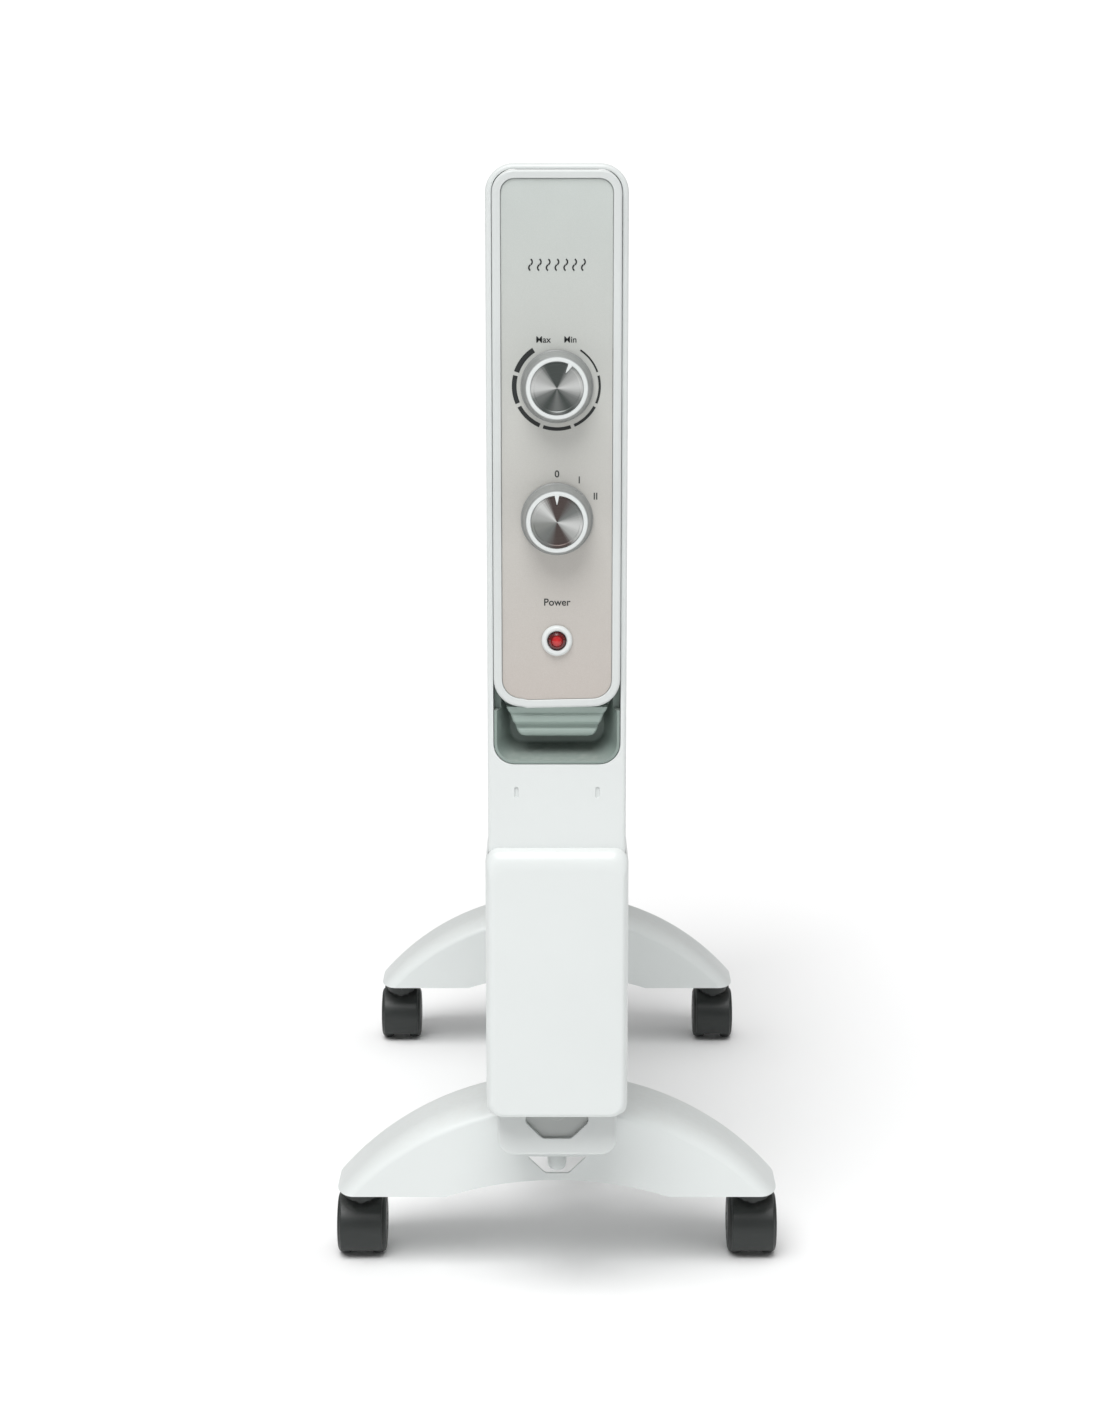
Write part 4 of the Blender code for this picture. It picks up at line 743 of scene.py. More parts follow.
# ---------------------------------------------------------------- oil body
def fin_blank(sizes, low, high, middle):
    """One fin without its bosses: seam, raised channels and the valleys between them."""
    seam = 0.9 * MM
    fin = block("fin_blank", (low.x, middle - seam, low.z), (high.x, middle + seam, high.z))
    round_edges(fin, lambda edge: runs_along(edge, 1), 16 * MM, 10)
    round_edges(fin, lambda edge: sharp(edge, 60) and abs(edge.verts[0].co.y - edge.verts[1].co.y) < 0.01 * MM,
                0.55 * MM, 3)
    with editing(fin):
        pick(fin, "FACE", lambda face: abs(face.normal.y) > 0.99)
        bpy.ops.mesh.inset(thickness=sizes.seam_width - 0.5 * MM, use_individual=True)
        for rise, run in ((0.5, 0.6), (1.3, 0.9), (1.1, 0.9), (0.5, 0.8), (0.2, 0.8)):
            bpy.ops.mesh.inset(thickness=run * MM, depth=rise * MM, use_individual=True)
        top, bottom = high.z - 66 * MM, low.z + 66 * MM
        inner, outer = 4.2 * MM, 11.2 * MM
        for place, normal in [((x, 0, 0), (1, 0, 0)) for x in (-outer, -inner, inner, outer)] + [
            ((0, 0, z), (0, 0, 1)) for z in (bottom, top)
        ]:
            pick(fin, "FACE", lambda face: abs(face.calc_center_median().y - middle) > 4.4 * MM)
            bpy.ops.mesh.bisect(plane_co=place, plane_no=normal)
        pick(fin, "FACE", lambda face: abs(face.calc_center_median().y - middle) > 4.4 * MM
             and inner < abs(face.calc_center_median().x) < outer and bottom < face.calc_center_median().z < top)
        deep = sizes.groove_depth
        for share, run in ((0.12, 0.5), (0.38, 0.7), (0.38, 0.7), (0.12, 0.6)):
            bpy.ops.mesh.inset(thickness=run * MM, depth=-deep * share, use_individual=True)
    return fin


def collector(name, x, y, z, front, back):
    """A round boss from one weld plane to the next, with its shoulders."""
    radius = COLLECTOR_RADIUS
    profile = [(radius - 1.2, -front), (radius - 0.4, -front + 0.4), (radius, -front + 1.2),
               (radius, back - 1.2), (radius - 0.4, back - 0.4), (radius - 1.2, back)]
    return turned(name, (x, y, z), (0, 1, 0), profile, 48)


def make_fins(sizes):
    """The row of pressed steel fins, joined at two collectors."""
    second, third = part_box(FIN_NAMES[1]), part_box(FIN_NAMES[2])
    second_y = (second[0].y + second[1].y) / 2
    pitch = (third[0].y + third[1].y) / 2 - second_y
    blank = fin_blank(sizes, second[0], second[1], second_y)
    levels = (second[0].z + COLLECTOR_INSET, second[1].z - COLLECTOR_INSET)
    last = len(FIN_NAMES) - 1
    for index, name in enumerate(FIN_NAMES):
        y = second_y + (index - 1) * pitch
        fin = shifted_copy(blank, name + "_pressing", (0, y - second_y, 0))
        reach = pitch / MM / 2 - 0.15
        front = 8.2 if index == 0 else reach
        back = 8.2 if index == last else reach
        for z in levels:
            join(fin, collector("boss", 0, y, z, front, back))
        dress(fin, "white_enamel_coat", replaces=[name], smooth=34)
    bpy.data.objects.remove(blank)


def make_plug():
    """Hexagonal filler plug with a chamfered head."""
    low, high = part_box("filler_plug")
    centre = Vector((0, low.y, (low.z + high.z) / 2))
    head = turned("filler_plug_head", centre, (0, 1, 0), [(7.4, 0), (7.4, 4.6), (6.7, 5.5), (4.0, 5.5), (3.7, 4.9)], 6)
    dress(head, "zinc_steel", replaces=["filler_plug"], smooth=10, weighted=False)


# ---------------------------------------------------------------- feet
def foot_body(name, sizes, low, high, wall):
    """The arched foot as a closed body, smaller all round by a wall."""
    radius, centre_z = 170.1 * MM, low.z - 110.4 * MM
    deep, tall = sizes.foot_rim_deep, sizes.foot_rim_high
    near, far = low.y + wall, high.y - wall
    middle = (near + far) / 2
    piece = disc(name, (0, near + deep, centre_z), (0, -1, 0), radius - wall, 240)
    with editing(piece):
        bpy.ops.mesh.select_all(action="SELECT")
        bpy.ops.mesh.bisect(plane_co=(0, 0, low.z - 16 * MM), plane_no=(0, 0, 1), clear_inner=True)
        bpy.ops.mesh.select_all(action="SELECT")
        bpy.ops.mesh.extrude_region_move(TRANSFORM_OT_translate={"value": (0, far - near - 2 * deep, 0)})
    tidy_mesh(piece)
    steps = 9
    for start, end in ((near + deep, near), (far - deep, far)):
        outward = 1 if end > start else -1
        size, y = radius - wall, start
        with editing(piece):
            pick(piece, "FACE", lambda face, at=start: abs(face.normal.y) > 0.9
                 and abs(face.calc_center_median().y - at) < 0.1 * MM)
            for step in range(1, steps + 1):
                angle = math.radians(90 * (1 - step / steps))
                next_y = end - outward * deep * (1 - math.cos(angle))
                next_size = radius - wall - tall * (1 - math.sin(angle))
                bpy.ops.mesh.extrude_region_move(TRANSFORM_OT_translate={"value": (0, next_y - y, 0)})
                grow = next_size / size
                bpy.ops.transform.resize(value=(grow, 1, grow), center_override=(0, next_y, centre_z))
                size, y = next_size, next_y
    tidy_mesh(piece)
    floor = low.z if wall == 0 else low.z - OVERSHOOT
    with editing(piece):
        bpy.ops.mesh.select_all(action="SELECT")
        bpy.ops.mesh.bisect(plane_co=(0, middle, floor), plane_no=(0, 0, 1), clear_inner=True, use_fill=True)
    tidy_mesh(piece)
    return piece


def upright(name, x, y, radius, low, high, sides=32):
    """A round upright bar or cutter."""
    return bar(name, (x, y, low), (0, 0, 1), radius, high - low, sides)


def make_feet(sizes):
    """Two hollow moulded feet."""
    low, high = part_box("front_foot")
    base = low.z
    y = (low.y + high.y) / 2
    wall = sizes.foot_wall
    fin_low, fin_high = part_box(FIN_NAMES[1])
    web_top = fin_low.z - 2 * MM
    well = fin_high.x + 2 * MM
    foot = foot_body("front_foot_moulding", sizes, low, high, 0)
    cavity = foot_body("foot_cavity", sizes, low, high, wall)
    cut(cavity, block("well_block", (-well - wall, low.y - OVERSHOOT, web_top - 2.5 * MM),
                      (well + wall, high.y + OVERSHOOT, web_top + CLEAR_OF_FOOT)))
    stem = middle_of("front_left_castor_stem")
    for side in (-1, 1):
        cut(cavity, upright("socket", side * abs(stem.x), y, 7.5 * MM, base - 10 * MM, web_top + 50 * MM))
    cut(foot, cavity)
    cut(foot, block("fin_well", (-well, low.y + wall, web_top), (well, high.y - wall, web_top + CLEAR_OF_FOOT)))
    rise, half = 10.5 * MM, 65 * MM
    sweep = (half * half + rise * rise) / (2 * rise)
    near, far = low.y - OVERSHOOT, high.y + OVERSHOOT
    cut(foot, bar("arch", (0, near, base + rise - sweep), (0, 1, 0), sweep, far - near, 256))
    round_edges(foot, lambda edge: runs_along(edge, 1) and abs(abs(edge.verts[0].co.x) - half) < 1.5 * MM
                and edge.verts[0].co.z < base + 0.5 * MM, 14 * MM, 6)
    collar_z = fin_low.z + COLLECTOR_INSET
    notch = bar("notch", (0, near, collar_z), (0, 1, 0), NOTCH_RADIUS, far - near, 64)
    way_in = block("way_in", (-NOTCH_RADIUS, near, collar_z), (NOTCH_RADIUS, far, web_top + CLEAR_OF_FOOT))
    window = block("window", (-17.5 * MM, near, base + 14.6 * MM),
                   (17.5 * MM, low.y + wall + OVERSHOOT, web_top - 6.6 * MM))
    with editing(window):
        pick(window, "VERT", lambda vert: vert.co.z < base + 15 * MM)
        bpy.ops.transform.resize(value=(0.4, 1, 1), center_override=(0, 0, 0))
    round_edges(window, lambda edge: runs_along(edge, 1), 1.5 * MM, 4)
    cut(foot, notch, way_in, window, upright("stud_hole", 0, y, 3.3 * MM, base, web_top + OVERSHOOT))
    for side in (-1, 1):
        cut(foot, upright("stem_hole", side * abs(stem.x), y, 3.8 * MM, base - 10 * MM, base + 7.3 * MM))
    rear = shifted_copy(foot, "rear_foot_moulding", (0, middle_of("rear_foot").y - y, 0))
    dress(foot, "foot_moulding", replaces=["front_foot"], smooth=28)
    dress(rear, "foot_moulding", replaces=["rear_foot"], smooth=28)


def make_nuts():
    """White nuts that draw the feet up to the collectors."""
    for end in ("front", "rear"):
        low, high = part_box(end + "_foot_nut")
        centre = Vector((0, (low.y + high.y) / 2, high.z))
        tall = (high.z - low.z) / MM
        nut = turned(end + "_foot_thumb_nut", centre, (0, 0, -1), [
            (3.15, 0), (7.0, 0), (7.0, 1.2), (6.6, 1.6), (5.7, 1.8), (5.6, tall - 4.2), (5.2, tall - 2.2),
            (4.2, tall - 0.7), (2.6, tall), (1.0, tall), (0.6, tall - 1.2), (3.15, tall - 1.2), (3.15, 0),
        ], 48, hollow=True)
        dress(nut, "foot_moulding", replaces=[end + "_foot_nut"], smooth=40)


# ---------------------------------------------------------------- castors
def hood_shell(name, x, axle, inner, outer, half):
    """Curved cover over both wheels, spun about their axle."""
    start, end = -35, 115
    piece = block(name, (x - half, axle.y - outer, axle.z - 0.01 * MM), (x + half, axle.y - inner, axle.z))
    with editing(piece):
        pick(piece, "VERT", lambda vert: vert.co.z < axle.z - 0.005 * MM)
        bpy.ops.mesh.delete(type="VERT")
        bpy.ops.mesh.select_all(action="SELECT")
        bpy.ops.mesh.spin(
            steps=30, angle=math.radians(end - start), center=axle, axis=(1, 0, 0),
        )
    place = Matrix.Translation(axle)
    piece.data.transform(place @ Matrix.Rotation(math.radians(-start), 4, "X") @ place.inverted())
    tidy_mesh(piece)
    return piece


def make_castors(sizes):
    """Four twin-wheel castors: one hood and one wheel are modelled and copied."""
    first = CORNERS[0]
    stem = middle_of(first + "_castor_stem")
    axle = middle_of(first + "_castor_axle")
    hood_low, hood_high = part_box(first + "_castor_hood")
    wheel_low, wheel_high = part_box(first + "_castor_wheel_left")
    radius = (wheel_high.z - wheel_low.z) / 2
    inner, outer = radius + 0.6 * MM, radius + 2.4 * MM
    half = (hood_high.x - hood_low.x) / 2
    hood = hood_shell("hood", stem.x, axle, inner, outer, half)
    round_edges(hood, lambda edge: sharp(edge, 50) and not runs_along(edge, 0)
                and min((end - axle).length for end in ends(edge)) > inner + 0.9 * MM, 1.1 * MM, 4)
    web = turned("web", (stem.x, axle.y, axle.z), (1, 0, 0), [
        (8.0, -5.5), (13.2, -5.5), (14.0, -5.0), (14.0, 5.0), (13.2, 5.5), (8.0, 5.5),
    ], 48)
    web_top = block("web_top", (stem.x - 5.5 * MM, axle.y - 12 * MM, axle.z),
                    (stem.x + 5.5 * MM, axle.y + 9 * MM, axle.z + inner + 0.2 * MM))
    boss = upright("boss", stem.x, stem.y, 5.2 * MM, axle.z + 6 * MM, hood_high.z - 2 * MM)
    tall = (hood_high.z - axle.z - outer) / MM
    collar = turned("collar", (stem.x, stem.y, axle.z + outer), (0, 0, 1), [
        (9.6, -1.6), (10.2, 0.6), (11.2, tall - 2.4), (12.2, tall - 1.6), (12.5, tall - 1.0), (12.5, tall - 0.3),
        (12.2, tall), (5.0, tall),
    ], 56)
    join(hood, web, web_top, boss, collar)
    cut(
        hood,
        upright("stem_bore", stem.x, stem.y, 3.75 * MM, axle.z + 8.7 * MM, hood_high.z + 20 * MM),
    )
    cut(hood, bar("axle_bore", (stem.x - 2 * half, axle.y, axle.z), (1, 0, 0), 2.3 * MM, 4 * half, 32))
    wide = (wheel_high.x - wheel_low.x) / MM
    rim, soft = radius / MM, sizes.wheel_rounding / MM
    wheels = {}
    for side, word in ((-1, "left"), (1, "right")):
        hub = Vector((stem.x + side * 6 * MM, axle.y, axle.z))
        wheels[word] = turned("wheel_" + word, hub, (side, 0, 0), [
            (2.25, 0), (9.0, 0), (9.6, 0.6), (rim - 3.0, 0.6), (rim - 2.6, 0), (rim - soft, 0),
            (rim - 0.4 * soft, 0.3 * soft), (rim, soft), (rim, wide - 3.0),
            (rim - 0.4, wide - 2.0), (rim - 1.3, wide - 1.0), (rim - 2.6, wide - 0.5),
            (rim - 3.2, wide - 0.9), (rim - 4.0, wide - 0.9), (rim - 4.6, wide - 0.3), (5.4, wide),
            (5.0, wide - 0.5), (4.4, wide - 0.5), (4.0, wide - 0.05), (0.6, wide),
            (0.5, wide - 2.6), (2.25, wide - 2.6), (2.25, 0),
        ], 64, hollow=True)
    for place in CORNERS:
        shift = middle_of(place + "_castor_stem") - stem
        piece = shifted_copy(hood, place + "_castor_cover", shift)
        dress(piece, "castor_moulding", place + "_castor", [place + "_castor_hood"], smooth=32)
        for word, wheel in wheels.items():
            piece = shifted_copy(wheel, f"{place}_roller_{word}", shift)
            dress(piece, "wheel_moulding", f"{place}_wheel_{word}",
                  [f"{place}_castor_wheel_{word}"], smooth=32)
    for spare in [hood, *wheels.values()]:
        bpy.data.objects.remove(spare)


# ---------------------------------------------------------------- shader building blocks
class Web:
    """Adds nodes to one tree and wires them."""

    def __init__(self, tree):
        self.tree = tree

    def put(self, socket, value):
        if isinstance(value, bpy.types.NodeSocket):
            self.tree.links.new(value, socket)
        else:
            socket.default_value = value

    def add(self, kind, settings=None, **values):
        made = self.tree.nodes.new(kind)
        for key, value in (settings or {}).items():
            setattr(made, key, value)
        for key, value in values.items():
            self.put(made.inputs[key.replace("_", " ")], value)
        return made

    def math(self, operation, *values):
        made = self.tree.nodes.new("ShaderNodeMath")
        made.operation = operation
        for socket, value in zip(made.inputs, values):
            self.put(socket, value)
        return made.outputs[0]

    def mix(self, share, one, two):
        made = self.tree.nodes.new("ShaderNodeMix")
        made.data_type = "RGBA"
        self.put(made.inputs[0], share)
        for socket, value in ((made.inputs[6], one), (made.inputs[7], two)):
            self.put(socket, value if isinstance(value, bpy.types.NodeSocket) else (*value[:3], 1.0))
        return made.outputs[2]

    def around(self, centre):
        """Place from a centre, its parts, and the distance from a line along Y through it."""
        moved = self.add("ShaderNodeMapping", None, Vector=self.place())
        moved.inputs["Location"].default_value = (-centre.x, -centre.y, -centre.z)
        parts = self.add("ShaderNodeSeparateXYZ", None, Vector=moved.outputs[0]).outputs
        squares = [self.math("MULTIPLY", parts[axis], parts[axis]) for axis in "XZ"]
        return moved.outputs[0], parts, self.math("SQRT", self.math("ADD", *squares))

    def remap(self, value, low, high, to_low, to_high):
        made = self.add("ShaderNodeMapRange", {"clamp": True})
        for socket, number in zip(made.inputs, (value, low, high, to_low, to_high)):
            self.put(socket, number)
        return made.outputs[0]

    def ramp(self, value, stops, interpolation="LINEAR"):
        made = self.tree.nodes.new("ShaderNodeValToRGB")
        made.color_ramp.interpolation = interpolation
        elements = made.color_ramp.elements
        while len(elements) < len(stops):
            elements.new(0.5)
        for element, (place, tone) in zip(elements, stops):
            element.position = place
            element.color = (*tone, 1.0) if hasattr(tone, "__len__") else (tone, tone, tone, 1.0)
        self.put(made.inputs[0], value)
        return made.outputs[0]

    def noise(self, vector, scale, detail=3.0, rough=0.5):
        made = self.add("ShaderNodeTexNoise", None, Vector=vector, Scale=scale, Detail=detail, Roughness=rough)
        return made.outputs[0]

    def place(self):
        """The point in the object's own coordinates, which are the frame's, in metres."""
        return self.add("ShaderNodeTexCoord").outputs["Object"]


def shader_group(name, inputs, outputs):
    """A new group with named sockets: (kind, name, default) for what goes in, (kind, name) for what comes out."""
    group = bpy.data.node_groups.new(name, "ShaderNodeTree")
    for kind, label, default in inputs:
        socket = group.interface.new_socket(label, in_out="INPUT", socket_type="NodeSocket" + kind)
        socket.default_value = default
    for kind, label in outputs:
        group.interface.new_socket(label, in_out="OUTPUT", socket_type="NodeSocket" + kind)
    web = Web(group)
    return web, web.add("NodeGroupInput").outputs, web.add("NodeGroupOutput").inputs


def build_groups():
    """The effects that several finishes share."""
    web, given, out = shader_group(
        "mottled_tone",
        [("Vector", "Place", (0, 0, 0)), ("Color", "First", (1, 1, 1, 1)), ("Color", "Second", (1, 1, 1, 1)),
         ("Float", "Scale", 12.0), ("Float", "Contrast", 1.0)],
        [("Color", "Tone"), ("Float", "Mask")],
    )
    broad = web.noise(given["Place"], given["Scale"], 4.0, 0.55)
    mask = web.math("MULTIPLY", web.remap(broad, 0.32, 0.68, 0.0, 1.0), given["Contrast"])
    web.put(out["Tone"], web.mix(mask, given["First"], given["Second"]))
    web.put(out["Mask"], mask)

    web, given, out = shader_group(
        "moulded_grain",
        [("Vector", "Place", (0, 0, 0)), ("Float", "Scale", 900.0), ("Float", "Waviness", 0.3)],
        [("Float", "Height"), ("Float", "Roughness")],
    )
    fine = web.noise(given["Place"], given["Scale"], 2.0, 0.6)
    slow = web.noise(given["Place"], 34.0, 2.0, 0.4)
    waves = web.math("MULTIPLY", slow, given["Waviness"])
    web.put(out["Height"], web.math("ADD", fine, waves))
    web.put(out["Roughness"], web.remap(web.noise(given["Place"], 60.0, 5.0, 0.6), 0.3, 0.7, -1.0, 1.0))

    web, given, out = shader_group(
        "rubbed_marks",
        [("Vector", "Place", (0, 0, 0)), ("Float", "Scale", 60.0), ("Float", "Amount", 0.5)],
        [("Float", "Mask")],
    )
    stretched = web.add("ShaderNodeMapping", None, Vector=given["Place"])
    stretched.inputs["Rotation"].default_value = (0.3, 0.5, 0.2)
    stretched.inputs["Scale"].default_value = (1.0, 7.0, 0.35)
    streaks = web.noise(stretched.outputs[0], given["Scale"], 6.0, 0.65)
    patches = web.noise(given["Place"], 16.0, 2.0, 0.5)
    thin = web.remap(streaks, 0.62, 0.72, 0.0, 1.0)
    web.put(out["Mask"], web.math("MULTIPLY", web.math("MULTIPLY", thin, web.remap(patches, 0.5, 0.7, 0.0, 1.0)),
                                  given["Amount"]))

    web, given, out = shader_group(
        "settled_dust",
        [("Vector", "Place", (0, 0, 0)), ("Vector", "Normal", (0, 0, 1)), ("Float", "Amount", 0.4)],
        [("Float", "Mask")],
    )
    upward = web.add("ShaderNodeSeparateXYZ", None, Vector=given["Normal"]).outputs["Z"]
    lying = web.remap(upward, 0.55, 1.0, 0.0, 1.0)
    specks = web.remap(web.noise(given["Place"], 220.0, 5.0, 0.7), 0.42, 0.75, 0.25, 1.0)
    web.put(out["Mask"], web.math("MULTIPLY", web.math("MULTIPLY", lying, specks), given["Amount"]))


def use_group(web, name, **values):
    made = web.tree.nodes.new("ShaderNodeGroup")
    made.node_tree = bpy.data.node_groups[name]
    for key, value in values.items():
        web.put(made.inputs[key], value)
    return made.outputs


def new_finish(name, constants):
    """A material with its shader, whose fixed values are set on its own sockets."""
    made = bpy.data.materials.new(name)
    made.use_nodes = True
    shader = made.node_tree.nodes["Principled BSDF"]
    for label, value in constants.items():
        shader.inputs[label].default_value = value
    return Web(made.node_tree), shader


def plastic(name, light, dark, rough, grain_scale=900.0, grain=0.05, wave=0.5, dust=0.3, marks=0.15, constants=None,
            mark_tone=(0.55, 0.55, 0.54), metal=None):
    """Moulded or coated surface: two close tones, grain, gloss that varies, dust on top and light rub marks."""
    settings = {"IOR": 1.46, "Specular IOR Level": 0.5}
    settings.update(constants or {})
    web, shader = new_finish(name, settings)
    place = web.place()
    tone = use_group(web, "mottled_tone", Place=place, First=(*light, 1), Second=(*dark, 1), Scale=9.0, Contrast=0.9)
    relief = use_group(web, "moulded_grain", Place=place, Scale=grain_scale, Waviness=wave)
    rubbed = use_group(web, "rubbed_marks", Place=place, Scale=70.0, Amount=marks)
    normal = web.add("ShaderNodeNewGeometry").outputs["Normal"]
    dusty = use_group(web, "settled_dust", Place=place, Normal=normal, Amount=dust)
    worn = web.mix(rubbed["Mask"], tone["Tone"], mark_tone)
    web.put(shader.inputs["Base Color"], web.mix(dusty["Mask"], worn, (0.62, 0.60, 0.57)))
    gloss = web.math("MULTIPLY_ADD", relief["Roughness"], 0.045, rough)
    gloss = web.math("ADD", gloss, web.math("MULTIPLY", dusty["Mask"], 0.3))
    web.put(shader.inputs["Roughness"], web.math("ADD", gloss, web.math("MULTIPLY", rubbed["Mask"], 0.2)))
    bump = web.add("ShaderNodeBump", None, Height=relief["Height"], Strength=grain, Distance=0.0004)
    web.put(shader.inputs["Normal"], bump.outputs[0])
    if metal is not None:
        shader.inputs["Metallic"].default_value = metal
    return web, shader


def skirt_painted_shade(web, shader, centre, face_radius):
    """Paints shade on the sloping skirt of a knob, outside its white face ring: a grey that stands for its shaded
    side.
    """
    reach = web.around(centre)[2]
    share = web.remap(reach, face_radius - 1.2 * MM, face_radius - 0.6 * MM, 0.0, 1.0)
    tone = shader.inputs["Base Color"].links[0].from_socket
    # painted shade: this grey on the skirt stands for the shade on the knob's side
    web.put(shader.inputs["Base Color"], web.mix(share, tone, (0.26, 0.27, 0.265)))


def silver_with_painted_reflection(colours, low, high):
    """Silver lacquer with a painted reflection: a cool tone at the top that runs to a warm one at the bottom."""
    web, shader = new_finish("silver_lacquer", {"Metallic": 0.35, "IOR": 1.5, "Coat Weight": 0.25,
                                                "Coat Roughness": 0.12})
    place = web.place()
    z = web.add("ShaderNodeSeparateXYZ", None, Vector=place).outputs["Z"]
    # painted reflection: the colour runs with height from the warm bottom tone to the cool top tone
    share = web.remap(z, low, high, 0.0, 1.0)
    base = web.mix(share, tuple(colours.fascia_bottom_painted_reflection), tuple(colours.fascia_top_painted_reflection))
    flakes = web.noise(place, 5200.0, 1.0, 0.5)
    flaked = web.mix(web.remap(flakes, 0.35, 0.75, 0.0, 0.16), base, (0.95, 0.95, 0.94))
    tone = use_group(web, "mottled_tone", Place=place, First=(1, 1, 1, 1), Second=(0.965, 0.965, 0.97, 1), Scale=14.0,
                     Contrast=0.6)
    mixed = web.tree.nodes.new("ShaderNodeMix")
    mixed.data_type, mixed.blend_type = "RGBA", "MULTIPLY"
    mixed.inputs[0].default_value = 1.0
    web.put(mixed.inputs[6], flaked)
    web.put(mixed.inputs[7], tone["Tone"])
    web.put(shader.inputs["Base Color"], mixed.outputs[2])
    relief = use_group(web, "moulded_grain", Place=place, Scale=2600.0, Waviness=0.4)
    web.put(shader.inputs["Roughness"], web.math("MULTIPLY_ADD", relief["Roughness"], 0.04, 0.42))
    bump = web.add("ShaderNodeBump", None, Height=relief["Height"], Strength=0.05, Distance=0.0002)
    web.put(shader.inputs["Normal"], bump.outputs[0])


def spun_painted_reflection(name, centre, stops):
    """Spun metal: fine rings, and a painted reflection of light and dark wedges that run round the middle."""
    web, shader = new_finish(name, {"Metallic": 0.75, "IOR": 1.6})
    _, parts, reach = web.around(centre)
    turn = web.math("ARCTAN2", parts["X"], parts["Z"])
    share = web.math("ADD", web.math("DIVIDE", turn, math.tau), 0.5)
    streak = web.noise(web.add("ShaderNodeCombineXYZ", None, X=web.math("MULTIPLY", turn, 9.0)).outputs[0], 3.0, 3.0)
    wobble = web.math("MULTIPLY_ADD", web.math("SUBTRACT", streak, 0.5), 0.05, share)
    # painted reflection: the ramp gives light and dark wedges by angle round the cap
    tone = web.ramp(wobble, stops, "EASE")
    along = web.add("ShaderNodeCombineXYZ", None, X=web.math("MULTIPLY", reach, 2600.0)).outputs[0]
    rings = web.noise(along, 2.0, 2.0)
    ringed = web.mix(web.remap(rings, 0.3, 0.7, 0.0, 0.07), tone, (0.9, 0.91, 0.9))
    web.put(shader.inputs["Base Color"], ringed)
    web.put(shader.inputs["Roughness"], web.remap(rings, 0.3, 0.7, 0.34, 0.46))
    bump = web.add("ShaderNodeBump", None, Height=rings, Strength=0.25, Distance=0.00012)
    web.put(shader.inputs["Normal"], bump.outputs[0])


def jewel_finish(colours, centre):
    """Red lens: painted shade at its edge, painted light in the middle and small painted glints, with a polished skin.
    """
    web, shader = new_finish("red_jewel", {"IOR": 1.5, "Coat Weight": 0.6, "Coat Roughness": 0.05})
    place, _, reach = web.around(centre)
    red = tuple(colours.lens)
    # painted shade: deep darkens the lens's edge; bright is painted light in its middle
    deep = tuple(value * 0.15 for value in red)
    bright = tuple(min(1.0, value * 1.3 + 0.01) for value in red)
    painted_light_and_shade = web.ramp(web.remap(reach, 0.0, 4.8 * MM, 0.0, 1.0), ((0.0, bright), (0.42, red), (0.75, deep), (1.0, deep)))
    # painted glints: small bright spots mixed into the red; the same pattern gives bumps and roughness
    painted_glints_and_bump = web.add("ShaderNodeTexVoronoi", None, Vector=place, Scale=900.0).outputs["Distance"]
    web.put(shader.inputs["Base Color"], web.mix(web.remap(painted_glints_and_bump, 0.0, 0.6, 0.22, 0.0), painted_light_and_shade, bright))
    web.put(shader.inputs["Roughness"], web.remap(painted_glints_and_bump, 0.0, 0.7, 0.12, 0.22))
    bump = web.add("ShaderNodeBump", None, Height=painted_glints_and_bump, Strength=0.12, Distance=0.0002)
    web.put(shader.inputs["Normal"], bump.outputs[0])


def steel_finish():
    """Zinc plated steel: spangles, slight dulling and fine marks."""
    web, shader = new_finish("zinc_steel", {"Metallic": 1.0, "IOR": 1.5})
    place = web.place()
    spangle = web.add("ShaderNodeTexVoronoi", None, Vector=place, Scale=260.0).outputs["Color"]
    shade = web.add("ShaderNodeRGBToBW", None, Color=spangle).outputs[0]
    base = web.mix(web.remap(shade, 0.0, 1.0, 0.0, 1.0), (0.46, 0.47, 0.48), (0.60, 0.61, 0.61))
    dull = web.remap(web.noise(place, 40.0, 5.0, 0.6), 0.45, 0.75, 0.0, 0.5)
    web.put(shader.inputs["Base Color"], web.mix(dull, base, (0.34, 0.33, 0.31)))
    web.put(shader.inputs["Roughness"], web.math("MULTIPLY_ADD", dull, 0.4, 0.3))
    fine = web.noise(place, 1500.0, 3.0, 0.6)
    bump = web.add("ShaderNodeBump", None, Height=fine, Strength=0.15, Distance=0.0002)
    web.put(shader.inputs["Normal"], bump.outputs[0])


def lamp_finish():
    """Neon lamp behind the lens: amber glass in two tones mixed by noise."""
    web, shader = new_finish("neon_glass", {"IOR": 1.5, "Coat Weight": 0.4})
    place = web.place()
    swirl = web.noise(place, 400.0, 3.0, 0.5)
    web.put(shader.inputs["Base Color"], web.mix(web.remap(swirl, 0.3, 0.7, 0.0, 1.0), (0.75, 0.32, 0.16),
                                                 (0.55, 0.2, 0.1)))
    web.put(shader.inputs["Roughness"], web.remap(swirl, 0.3, 0.7, 0.1, 0.25))
    bump = web.add("ShaderNodeBump", None, Height=swirl, Strength=0.1, Distance=0.0003)
    web.put(shader.inputs["Normal"], bump.outputs[0])


